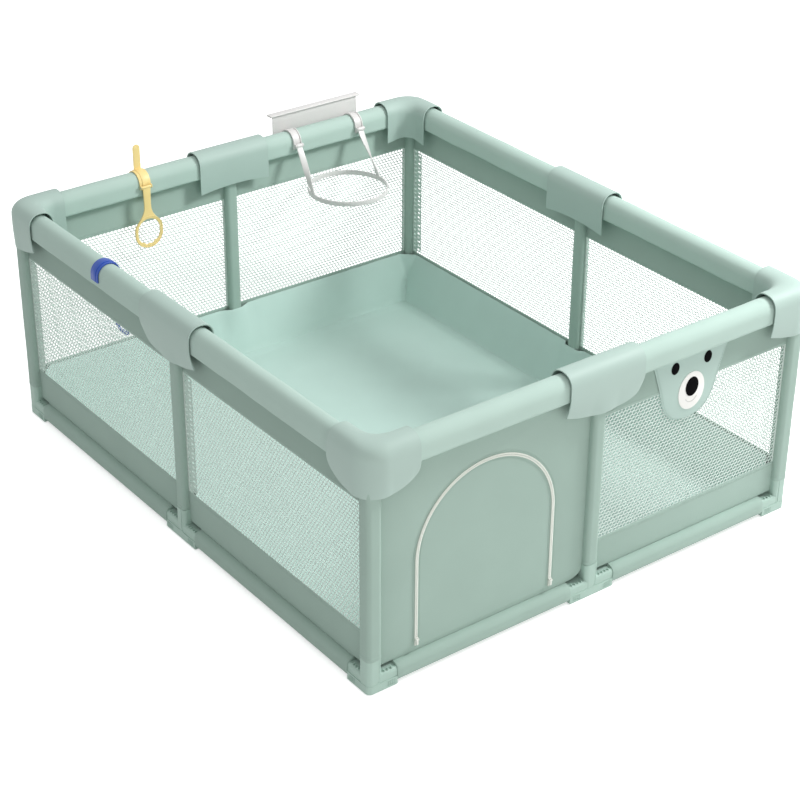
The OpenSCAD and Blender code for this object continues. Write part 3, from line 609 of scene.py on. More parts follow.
class Finishes:
    """Every finish of the yard, made once."""

    def __init__(self) -> None:
        """Makes the materials."""
        self.kinds: dict[str, Finish] = {
            "rail": WovenCloth("sealed_oxford_rail_cloth", "rail_fabric", "ABC1B8", 0.78, thread=1.8 * MM,
                               relief=0.0001, sheen=0.05, gloss=0.18),
            "wall": WovenCloth("oxford_wall_cloth", "wall_fabric", "99AFA5", 0.78, sheen=0.08, gloss=0.2),
            "floor": WovenCloth("oxford_floor_cloth", "floor_fabric", "B8D1C9", 0.78, sheen=0.05, gloss=0.2),
            "tape": TwistedYarn("ladder_tape_yarn", "net_fabric", "B9CFC5", 0.7, clear=0.05),
            "net": TwistedYarn("knitted_net_yarn", "net_fabric", "DAE6E0", 0.6),
            "cap": MouldedPlastic("moulded_polypropylene_cover", "cap_plastic", "A2B7AF", 0.58),
            "connector": MouldedPlastic("moulded_polypropylene_foot", "connector_plastic", "A0B9AE", 0.48),
            "joint": MouldedPlastic("moulded_nylon_joint", "joint_plastic", "D9DCD8", 0.45),
            "rubber": MouldedPlastic("moulded_rubber_pad", "foot_rubber", "3C4643", 0.8, relief=0.0001),
            "tube": ZincTube("galvanised_steel_tube", "galvanised_tube", "B9BDC2", 0.38),
            "foam": CellFoam("expanded_foam", "rail_foam", "EFF1EE", 0.85),
            "zip": WovenCloth("woven_zip_tape", "zip_tape", "D8DDD4", 0.7, thread=1.2 * MM, mapped=False),
            "zip_metal": MouldedPlastic("cast_zip_slider_enamel", "zip_metal", "DDE0D9", 0.4),
            "bear": WovenCloth("brushed_bear_cloth", "bear_fabric", "AAC0B8", 0.85, gloss=0.15,
                               mapped=False),
            "bear_white": WovenCloth("white_felt_patch", "bear_white", "E6E6E2", 0.85, sheen=0.1,
                                     mapped=False),
            "bear_black": WovenCloth("black_felt_patch", "bear_black", "070708", 0.9, sheen=0.0, gloss=0.05,
                                     mapped=False),
            "yellow": MouldedPlastic("moulded_yellow_polypropylene", "yellow_plastic", "EBD28E", 0.42),
            "blue": MouldedPlastic("moulded_blue_polypropylene", "blue_plastic", "1C4AA8", 0.38),
            "thread": TwistedYarn("sage_sewing_thread", "wall_fabric", "93AA9F", 0.5),
            "bear_thread": TwistedYarn("mint_sewing_thread", "bear_fabric", "A0B9B0", 0.5),
            "smile": TwistedYarn("grey_embroidery_thread", "bear_white", "B9BBB7", 0.5),
            "hoop": MouldedPlastic("moulded_white_abs", "hoop_plastic", "D0CFCD", 0.38),
        }
        self.made: dict[str, Material] = {key: finish.make() for key, finish in self.kinds.items()}

    def __getitem__(self, key: str) -> Material:
        """The material of a finish."""
        return self.made[key]

    def dress(self, key: str, *nodes: str) -> None:
        """Gives frame nodes that stay in view a finish."""
        for node in nodes:
            piece = FRAME["nodes"][node]
            piece.data.materials.clear()
            piece.data.materials.append(self.made[key])

    def ride(self, piece: Object, key: str, *nodes: str, body: str = "pen") -> Object:
        """Fixes a finished piece to its body and hides the frame nodes that it stands for."""
        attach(piece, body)
        if nodes:
            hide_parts(*nodes)
        LOG.info("%s rides on %s: %d faces", piece.name, body, len(piece.data.polygons))
        return piece


# -------- rails
@dataclass
class PaddedRails:
    """The top rails: foam round each tube and a sewn sleeve over it, in two bays a wall."""

    top_r: float = 0.032
    seam_r: float = 0.007
    seam_least: float = 0.003
    sleeve_t: float = 0.003
    bore: float = 0.0128
    foam_in: float = 0.001
    foam_play: float = 0.0006
    swell: float = 0.0011
    shrunk: float = 0.0006
    gather: float = 0.0012
    gather_run: float = 0.02
    mean_r: float = 0.034
    around: int = 64
    step: float = 0.014

    def section(self, inset: float) -> np.ndarray:
        """The sleeve's section, Y outwards and Z up from the rail's axis, smaller by inset."""
        w, h = PLAN.rail_w / 2 - inset, PLAN.rail_h / 2 - inset
        top, seam = self.top_r - inset, max(self.seam_r - inset, self.seam_least)
        return evened(rounded([(w, -h, seam), (w, h, top), (-w, h, top), (-w, -h, seam)], 10), self.around)

    def bay(self, wall: Wall, side: int) -> Shape:
        """One bay's sleeve with its slight swells, a closed form with a hollow for the foam."""
        start, stop = PLAN.sleeve_end, wall.half - PLAN.sleeve_end
        count = int((stop - start) / self.step) + 1
        outer, inner = self.section(0.0), self.section(self.sleeve_t)
        rows = []
        for x in np.linspace(start, stop, count):
            gather = exp(-min(x - start, stop - x) / self.gather_run)
            swell = [self.swell * wander(side * x, y * 0.8, z + 3.1 * wall.value, 0.11) - self.shrunk
                     - self.gather * gather for y, z in outer]
            loop = outer * (1 + np.array(swell)[:, None] / self.mean_r)
            rows.append([(side * x, y, z + PLAN.rail_z) for y, z in loop])
        back = [[(side * x, y, z + PLAN.rail_z) for y, z in inner] for x in np.linspace(stop, start, 3)]
        return Shape().grid(on_wall(wall, np.array(rows + back + rows[:1])), wrap=True)

    def foam(self, wall: Wall, side: int) -> Shape:
        """One bay's foam, a little inside the sleeve, with the tube's bore through it."""
        start, stop = PLAN.sleeve_end + self.foam_in, wall.half - PLAN.sleeve_end - self.foam_in
        outer = self.section(self.sleeve_t + self.foam_play)
        turn = np.arctan2(outer[:, 1], outer[:, 0])
        bore = np.stack([np.cos(turn), np.sin(turn)], axis=1) * self.bore
        rows = [[(side * x, y, z + PLAN.rail_z) for y, z in loop]
                for x, loop in ((start, outer), (stop, outer), (stop, bore), (start, bore), (start, outer))]
        return Shape().grid(on_wall(wall, np.array(rows)), wrap=True)

    def make(self, finishes: Finishes) -> None:
        """Builds the four padded rails and their foam."""
        foam = Shape()
        for wall in Wall:
            shape = self.bay(wall, 1) + self.bay(wall, -1)
            piece = shape.build(f"padded_rail_{wall.label}", finishes["rail"])
            finishes.ride(piece, "rail", f"rail_sleeve_{wall.label}")
            foam = foam + self.foam(wall, 1) + self.foam(wall, -1)
        piece = foam.build("rail_foam_tubes", finishes["foam"])
        finishes.ride(piece, "foam", "top_rail_foam")
        finishes.dress("tube", "post_tubes", "top_rail_tubes", "bottom_rail_tubes")
        finishes.dress("joint", "corner_joints", "mid_joints")


@dataclass
class SillRails:
    """The bottom rails' sleeves, pulled over the lower tubes between the feet."""

    round_r: float = 0.02
    gap: float = 0.0003
    slant: float = 0.007
    slant_rate: float = 12.0
    waver: float = 0.01
    edge_r: float = 0.0012
    step: float = 0.02

    def bay(self, wall: Wall, side: int) -> Shape:
        """One bay's sleeve, its ends cut on a slant, closed round the tube."""
        start, stop = PLAN.mid_foot_arm + self.gap, wall.half - PLAN.foot_arm - self.gap
        w, h, r = PLAN.sill_w / 2, PLAN.sill_h / 2, self.round_r
        loop = evened(rounded([(w, -h, r), (w, h, r), (-w, h, r), (-w, -h, r)], 8), 56)
        rows = []
        count = int((stop - start) / self.step) + 1
        for x in np.linspace(start, stop, count):
            ease = min(x - start, stop - x) / (stop - start)
            sign = 0 if ease == 0 else copysign(1, (stop - x) - (x - start))
            lean = sign * self.slant * max(0.0, 1 - ease * self.slant_rate)
            rows.append([(side * (x + lean * (0.5 - (z + h) / (2 * h))),
                          y * (1 + self.waver * wander(side * x, y, wall.value * 2.0, 0.14)), z + PLAN.sill_z)
                         for y, z in loop])
        return Shape().grid(on_wall(wall, np.array(rows)), wrap=True, ends=True)

    def make(self, finishes: Finishes) -> None:
        """Builds the sleeves of the short and of the long walls."""
        for label, walls in (("short", (Wall.FRONT, Wall.BACK)), ("long", (Wall.RIGHT, Wall.LEFT))):
            shape = Shape()
            for wall in walls:
                shape = shape + self.bay(wall, 1) + self.bay(wall, -1)
            piece = soften(shape.build(f"bottom_rail_{label}_sleeves", finishes["wall"]), self.edge_r)
            finishes.ride(piece, "wall", f"sill_sleeves_{label}")


# -------- posts
@dataclass
class PostSleeves:
    """Sewn sleeves on the eight upright tubes, with a turned hem at the foot."""

    corner_r: float = 0.012
    hem: float = 0.011
    hem_t: float = 0.0005
    hem_edge: float = 0.0006
    gap_low: float = 0.0003
    gap_high: float = 0.0004
    corner_extra: float = 0.003
    waver: float = 0.0006
    waver_size: float = 0.09
    bore: float = 0.0129
    around: int = 56

    def sleeve(self, seed: float, wide: float) -> Shape:
        """One sleeve round an upright at the origin."""
        w, r, size = wide / 2, self.corner_r, self.waver_size
        loop = evened(rounded([(w, -w, r), (w, w, r), (-w, w, r), (-w, -w, r)], 8), self.around)
        low, high = PLAN.foot_h + self.gap_low, PLAN.joint_low - self.gap_high
        levels = [low, low + self.hem_edge, low + self.hem - self.hem_edge, low + self.hem]
        levels += list(np.linspace(low + self.hem + 0.004, high, 30))
        rows = []
        for i, z in enumerate(levels):
            proud = self.hem_t if i in (1, 2) else 0.0
            rows.append([(x * (1 + (proud + self.waver * wander(x + seed, y, z, size)) / w),
                          y * (1 + (proud + self.waver * wander(x, y + seed, z, size)) / w), z)
                         for x, y in loop])
        bore = loop * (self.bore / np.linalg.norm(loop, axis=1))[:, None]
        rows += [[(x, y, high) for x, y in bore], [(x, y, low) for x, y in bore], rows[0]]
        return Shape().grid(np.array(rows), wrap=True)

    def make(self, finishes: Finishes) -> None:
        """Builds the corner sleeves and the middle sleeves."""
        corners, middles = Shape(), Shape()
        for i, (right, back) in enumerate(((False, False), (True, False), (False, True), (True, True))):
            sleeve = self.sleeve(float(i), PLAN.post_w + self.corner_extra)
            corners = corners + sleeve.copy(lambda p, r=right, b=back: on_corner(r, b, p))
        for wall in Wall:
            sleeve = self.sleeve(5.0 + wall.value, PLAN.post_w)
            middles = middles + sleeve.copy(lambda p, w=wall: on_wall(w, p))
        for label, shape in (("corner", corners), ("mid", middles)):
            piece = shape.build(f"{label}_upright_sleeves", finishes["wall"])
            finishes.ride(piece, "wall", f"{label}_post_sleeves")


# -------- covers
@dataclass
class RailCovers:
    """The moulded saddles over the corners and the middles of the top rails.

    An apron is given by its drop below the top, its rise at the ends and the power of that curve.
    """

    wall_t: float = 0.003
    half: float = 0.04
    arm: float = 0.122
    mid_len: float = 0.25
    corner_apron: Triple = (0.14, 0.058, 2.3)
    mid_apron: Triple = (0.147, 0.046, 2.8)
    tip_rise: float = 0.022
    corner_lean: float = 0.007
    mid_lean: float = 0.0135
    lean_pow: float = 1.4
    lean_run: float = 0.045
    bend_lean: float = 0.3
    bend_from: float = 0.0275
    bend_run: float = 0.03
    knee: float = 0.645
    inner_drop: float = 0.128
    inner_rise: float = 0.01
    outer_r: float = 0.07
    inner_r: float = 0.05
    arch_h: float = 0.04
    roof_pow: float = 2.3
    roof_steps: int = 28
    edge_r: float = 0.0011

    def apron_z(self, apron: Triple, t: float, tip: bool) -> float:
        """Height of the outer wall's edge at share t of the way to an end, which is round or a tip."""
        drop, rise, power = apron
        t = min(abs(t), 1.0)
        if tip:
            return PLAN.top - drop + self.tip_rise * t * t
        return PLAN.top - drop + rise * (1 - (1 - t ** power) ** (1 / power))

    def inner_z(self, t: float) -> float:
        """Height of the inner wall's edge at share t of the way to an end."""
        return PLAN.top - self.inner_drop + self.inner_rise * (1 - t * t)

    def skin(self, width: float, inset: float, z_out: float, z_in: float,
             lean: float) -> list[Pair]:
        """Points across one skin of the shell, as distance from the inner face and height."""
        half, arch, rise = width / 2 - inset, PLAN.top - self.arch_h, self.arch_h - inset
        depth = min(1.0, (self.knee - z_out) / self.lean_run)
        points = [(width - inset - lean * depth * s ** self.lean_pow, self.knee + (z_out - self.knee) * s)
                  for s in (1.0, 0.75, 0.5, 0.25, 0.0)]
        for i in range(self.roof_steps + 1):
            a = pi * i / self.roof_steps
            across = copysign(abs(cos(a)) ** (2 / self.roof_pow), cos(a))
            up = abs(sin(a)) ** (2 / self.roof_pow)
            points.append((width / 2 + half * across, arch + rise * up))
        return points + [(inset, z_in)]

    def ring(self, p_in: np.ndarray, p_out: np.ndarray, z_out: float, z_in: float,
             lean: float) -> list[Triple]:
        """One closed ring of the shell between an inner and an outer point of the plan."""
        width = float(np.linalg.norm(p_out - p_in))
        way = (p_out - p_in) / width
        clear = min(1.0, max(0.0, (float(np.linalg.norm(p_out)) - self.bend_from) / self.bend_run))
        lean *= self.bend_lean + (1 - self.bend_lean) * clear
        loop = self.skin(width, 0.0, z_out, z_in, lean)
        loop += self.skin(width, self.wall_t, z_out, z_in, lean)[::-1]
        return [(p_in[0] + way[0] * d, p_in[1] + way[1] * d, z) for d, z in loop]

    def outer_at(self, a: float) -> np.ndarray:
        """Where the outer outline meets the ray that leaves the inner fillet's middle at angle a."""
        fillet, round_c = self.half + self.inner_r, self.outer_r - self.half
        if a > pi / 4:
            return self.outer_at(pi / 2 - a)[::-1]
        if a <= atan((fillet - round_c) / (fillet + self.half)):
            return np.array((fillet - (fillet + self.half) * tan(a), -self.half))
        way = np.array((-sin(a), -cos(a)))
        b = (fillet - round_c) * float(way.sum())
        c = 2 * (fillet - round_c) ** 2 - self.outer_r ** 2
        return np.array((fillet, fillet)) + way * (-b + sqrt(b * b - c))

    def across(self, x: float, z_out: float, z_in: float, lean: float) -> list[Triple]:
        """One closed ring of the shell square across a rail at x."""
        return self.ring(np.array((x, self.half)), np.array((x, -self.half)), z_out, z_in, lean)

    def corner(self, tip_x: bool, tip_y: bool) -> Shape:
        """The corner saddle, its corner at the origin, arms along +X and +Y, each round or with a tip."""
        fillet, round_c = self.half + self.inner_r, self.outer_r - self.half
        bend = atan((fillet - round_c) / (fillet + self.half))
        places = self.arm - np.linspace(0, 1, 15)[:-1] ** 1.6 * (self.arm - fillet)
        arms = [[self.across(x, self.apron_z(self.corner_apron, x / self.arm, tip), self.inner_z(x / self.arm),
                             self.corner_lean) for x in places] for tip in (tip_x, tip_y)]
        turn = []
        for a in np.linspace(0, pi / 2, 49):
            near = min(a, pi / 2 - a)
            t = self.outer_at(near)[0] / self.arm if near <= bend else \
                round_c / self.arm * (pi / 4 - near) / (pi / 4 - bend)
            t_in = fillet / self.arm * (pi / 4 - near) / (pi / 4)
            p_in = np.array((fillet - self.inner_r * sin(a), fillet - self.inner_r * cos(a)))
            tip = tip_x if a < pi / 4 else tip_y
            turn.append(self.ring(p_in, self.outer_at(a), self.apron_z(self.corner_apron, t, tip),
                                  self.inner_z(t_in), self.corner_lean))
        other = [[(y, x, z) for x, y, z in ring] for ring in arms[1][::-1]]
        return Shape().grid(np.array(arms[0] + turn + other), wrap=True)

    def middle(self, tip: int) -> Shape:
        """The middle saddle on a wall, with a tip at its left end (-1), its right end (1) or neither (0)."""
        shares = [sin(radians(a)) for a in np.linspace(-90, 90, 61)]
        rings = [self.across(t * self.mid_len / 2, self.apron_z(self.mid_apron, t, t * tip > 0),
                             self.inner_z(t), self.mid_lean) for t in shares]
        return Shape().grid(np.array(rings), wrap=True)

    def close_ends(self, shape: Shape) -> Shape:
        """Fills the two open ends of the shell between its skins."""
        total, n = len(shape.points), 2 * (self.roof_steps + 7)
        for base, flip in ((0, False), (total - n, True)):
            for j in range(n // 2 - 1):
                quad = [base + j, base + j + 1, base + n - 2 - j, base + n - 1 - j]
                shape.face(quad[::-1] if flip else quad)
        return shape

    def make(self, finishes: Finishes) -> None:
        """Builds the four corner saddles and the four middle ones."""
        for right in (False, True):
            for back in (False, True):
                label = f"{'back' if back else 'front'}_{'right' if right else 'left'}"
                corner = self.close_ends(self.corner(right and not back, back and not right))
                placed = corner.copy(lambda p, r=right, b=back: on_corner(r, b, p))
                piece = soften(placed.build(f"corner_cover_{label}", finishes["cap"]), self.edge_r, 3)
                finishes.ride(piece, "cap", f"corner_cap_{label}")
        for wall in Wall:
            middle = self.close_ends(self.middle({Wall.FRONT: -1, Wall.LEFT: 1}.get(wall, 0)))
            placed = middle.copy(lambda p, w=wall: on_wall(w, p))
            piece = soften(placed.build(f"mid_cover_{wall.label}", finishes["cap"]), self.edge_r, 3)
            finishes.ride(piece, "cap", f"mid_cap_{wall.label}")


# -------- rows of small things, made by node trees
@dataclass(frozen=True)
class Stitch:
    """The stitches of a seam, or the teeth of a zip where they lie across."""

    pitch: float = 0.0065
    length: float = 0.0042
    radius: float = 0.00045
    across: bool = False


class Rows:
    """Node trees that repeat one small form along a line or over a field."""

    @staticmethod
    def tree(name: str, sockets: Sequence[tuple[str, str]]) -> tuple[NodeTree, Node]:
        """Starts a geometry tree with a geometry input, named inputs and a geometry output."""
        tree = bpy.data.node_groups.new(name, "GeometryNodeTree")
        tree.interface.new_socket(name="Geometry", in_out="INPUT", socket_type="NodeSocketGeometry")
        for label, kind in sockets:
            tree.interface.new_socket(name=label, in_out="INPUT", socket_type=f"NodeSocket{kind}")
        tree.interface.new_socket(name="Geometry", in_out="OUTPUT", socket_type="NodeSocketGeometry")
        return tree, add_node(tree, "NodeGroupInput")

    @staticmethod
    def field() -> NodeTree:
        """A tree that lays the input form out in columns and rows, and welds the copies."""
        tree, given = Rows.tree("net_field", [("Columns", "Int"), ("Rows", "Int"), ("Wide", "Float"),
                                              ("High", "Float"), ("Finish", "Material")])
        grid = add_node(tree, "GeometryNodeMeshGrid", links={
            "Size X": given.outputs["Wide"], "Size Y": given.outputs["High"],
            "Vertices X": given.outputs["Columns"], "Vertices Y": given.outputs["Rows"]})
        laid = add_node(tree, "GeometryNodeInstanceOnPoints", links={
            "Points": grid.outputs["Mesh"], "Instance": given.outputs["Geometry"]})
        real = add_node(tree, "GeometryNodeRealizeInstances", links={"Geometry": laid.outputs["Instances"]})
        weld = add_node(tree, "GeometryNodeMergeByDistance", {"Distance": 20 * WELD},
                        {"Geometry": real.outputs["Geometry"]})
        return Rows.close(tree, weld, given)

    @staticmethod
    def along() -> NodeTree:
        """A tree that sets a small rod on a line of edges again and again, lengthwise or across."""
        tree, given = Rows.tree("rod_row", [("Pitch", "Float"), ("Length", "Float"), ("Radius", "Float"),
                                            ("Across", "Bool"), ("Finish", "Material")])
        line = add_node(tree, "GeometryNodeMeshToCurve", links={"Mesh": given.outputs["Geometry"]})
        points = add_node(tree, "GeometryNodeCurveToPoints", {"mode": "LENGTH"},
                          {"Curve": line.outputs["Curve"], "Length": given.outputs["Pitch"]})
        rod = add_node(tree, "GeometryNodeMeshCylinder", {"Vertices": 6, "Fill Segments": 1}, {
            "Radius": given.outputs["Radius"], "Depth": given.outputs["Length"]})
        way = add_node(tree, "GeometryNodeSwitch", {"input_type": "VECTOR"}, {
            "Switch": given.outputs["Across"], "False": points.outputs["Tangent"],
            "True": points.outputs["Normal"]})
        aim = add_node(tree, "FunctionNodeAlignEulerToVector", {"axis": "Z"}, {"Vector": way.outputs["Output"]})
        laid = add_node(tree, "GeometryNodeInstanceOnPoints", links={
            "Points": points.outputs["Points"], "Instance": rod.outputs["Mesh"],
            "Rotation": aim.outputs["Rotation"]})
        real = add_node(tree, "GeometryNodeRealizeInstances", links={"Geometry": laid.outputs["Instances"]})
        return Rows.close(tree, real, given)

    @staticmethod
    def close(tree: NodeTree, last: Node, given: Node) -> NodeTree:
        """Ends a tree: the last node's geometry gets the given finish and goes to the output."""
        dressed = add_node(tree, "GeometryNodeSetMaterial", links={
            "Geometry": last.outputs["Geometry"], "Material": given.outputs["Finish"]})
        add_node(tree, "NodeGroupOutput", links={"Geometry": dressed.outputs["Geometry"]})
        return tree

    @staticmethod
    def run(piece: Object, tree: NodeTree, values: dict) -> Object:
        """Runs a tree on a piece with values for its named inputs and keeps the plain mesh."""
        modifier = piece.modifiers.new(tree.name, "NODES")
        modifier.node_group = tree
        for socket in tree.interface.items_tree:
            if socket.in_out == "INPUT" and socket.name in values:
                modifier[socket.identifier] = values[socket.name]
        return settle(piece, 30.0)

    def __init__(self) -> None:
        """Makes the trees."""
        self.field_tree = self.field()
        self.along_tree = self.along()

    def stitches(self, name: str, lines: Loops, finish: Material, stitch: Stitch = Stitch()) -> Object:
        """Small rods in a row along each line."""
        points: list[Triple] = []
        edges: list[tuple[int, int]] = []
        for line in lines:
            base = len(points)
            points += [tuple(p) for p in line]
            edges += [(base + i, base + i + 1) for i in range(len(line) - 1)]
        mesh = bpy.data.meshes.new(name)
        mesh.from_pydata(points, edges, [])
        piece = add(name, mesh)
        return self.run(piece, self.along_tree, {
            "Pitch": stitch.pitch, "Length": stitch.length, "Radius": stitch.radius,
            "Across": stitch.across, "Finish": finish})


# -------- walls
@dataclass
class WallCloth:
    """The cloth bands above and below the net, with turned hems and their stitching."""

    body_t: float = 0.0018
    hem_t: float = 0.003
    hem: float = 0.012
    notch: float = 0.0022
    waver: float = 0.0012
    sewn_edge: float = 0.05
    seam_in: float = 0.003
    proud: float = 0.0001
    step: float = 0.02

    def wave(self, wall: Wall, x: float, z: float) -> float:
        """How far the cloth stands off its plane at a spot of the wall."""
        return self.waver * wander(x, z * 1.5, 7.0 * wall.value, 0.16)

    def band(self, wall: Wall, side: int, low: float, high: float, hem_low: bool) -> Shape:
        """One bay's band, swept along the wall: a thin sheet that is thicker at its hem."""
        start, stop = PLAN.side_gap, wall.half - PLAN.side_gap
        b, h = self.body_t / 2, self.hem_t / 2
        edge = [(b, high), (b, low)]
        if hem_low:
            hem = low + self.hem
            edge = edge[:1] + [(b, hem), (h, hem - 0.0008), (h, low + 0.0006), (h * 0.5, low)]
        loop = edge + [(-y, z) for y, z in edge[::-1]]
        rows = []
        for x in np.linspace(start, stop, int((stop - start) / self.step) + 1):
            ease = min(1.0, min(x - start, stop - x) / self.sewn_edge)
            rows.append([(side * x, y + ease * self.wave(wall, side * x, z), z) for y, z in loop])
        return Shape().grid(on_wall(wall, np.array(rows)), wrap=True, ends=True)

    def seam(self, wall: Wall, side: int, z: float, outside: bool) -> np.ndarray:
        """The line of a hem's stitching, just proud of the cloth."""
        start, stop = PLAN.side_gap + 0.004, wall.half - PLAN.side_gap - 0.004
        y = (self.hem_t / 2 + self.proud) * (-1 if outside else 1)
        return on_wall(wall, np.array([(side * x, y + self.wave(wall, side * x, z), z)
                                       for x in np.linspace(start, stop, 40)]))

    def lower_outline(self, half: float, curl: Pair = (0.004, 0.004)) -> np.ndarray:
        """Outline of a lower panel's bay, cut clear of the feet.

        Args:
            half: Half of the wall's length.
            curl: Width and height of the cut corner beside the middle post.

        Returns:
            The closed outline, X from the wall's middle and Z.
        """
        low, a, b = PLAN.sill_top + PLAN.hair, PLAN.side_gap, half - PLAN.side_gap
        foot, mid_foot = half - PLAN.foot_arm, PLAN.mid_foot_arm
        over = low + self.notch
        cut = [(a + curl[0] * (1 - cos(q)), over + curl[1] * (1 - sin(q)), 0.0)
               for q in np.linspace(0, pi / 2, 17)]
        return rounded(cut + [(mid_foot, over, 0.001), (mid_foot + 0.004, low, 0.001),
                              (foot - 0.004, low, 0.001), (foot, over, 0.001), (b, over, 0.004),
                              (b, PLAN.net_low, 0.001), (a, PLAN.net_low, 0.001)], 5)

    def make(self, finishes: Finishes, rows: Rows) -> None:
        """Builds the bands of the four walls and their stitching."""
        lines: list[np.ndarray] = []
        for wall in Wall:
            sides = (1,) if wall is Wall.FRONT else (1, -1)
            upper, lowers = Shape(), []
            for side in sides:
                upper = upper + self.band(wall, side, PLAN.net_high, PLAN.cloth_top, True)
                lowers.append(plate([self.lower_outline(wall.half)], self.body_t + 0.0002, 0.0006,
                                    lambda p, w=wall, s=side: on_wall(w, np.stack(
                                        [s * p[:, 0], p[:, 2] - self.body_t / 2, p[:, 1]], axis=1)),
                                    f"lower_{wall.label}_{side}", finishes["wall"]))
                hem = self.band(wall, side, PLAN.net_low - self.hem, PLAN.net_low + PLAN.hair, False)
                strip = self.thick(hem, wall).build(f"hem_{wall.label}_{side}", finishes["wall"])
                lowers.append(soften(strip, 0.0005))
                for outside in (True, False):
                    lines.append(self.seam(wall, side, PLAN.net_high + self.hem - self.seam_in, outside))
                    lines.append(self.seam(wall, side, PLAN.net_low - self.hem + self.seam_in, outside))
            band = soften(upper.build(f"upper_cloth_{wall.label}", finishes["wall"]), 0.0004)
            finishes.ride(band, "wall", f"upper_band_{wall.label}")
            low = join(f"lower_cloth_{wall.label}", lowers)
            finishes.ride(low, "wall", f"lower_band_{wall.label}")
        thread = rows.stitches("hem_stitches", lines, finishes["thread"])
        finishes.ride(thread, "thread")

    def thick(self, shape: Shape, wall: Wall) -> Shape:
        """The same strip with its thickness grown from the cloth's to the hem's."""
        axis = 1 if wall.value % 2 == 0 else 0

        def grow(points: np.ndarray) -> np.ndarray:
            """Spreads the points of the strip about its middle plane."""
            middle = copysign(wall.out, points[:, axis].mean())
            points[:, axis] = middle + (points[:, axis] - middle) * self.hem_t / self.body_t
            return points
        return shape.copy(grow)


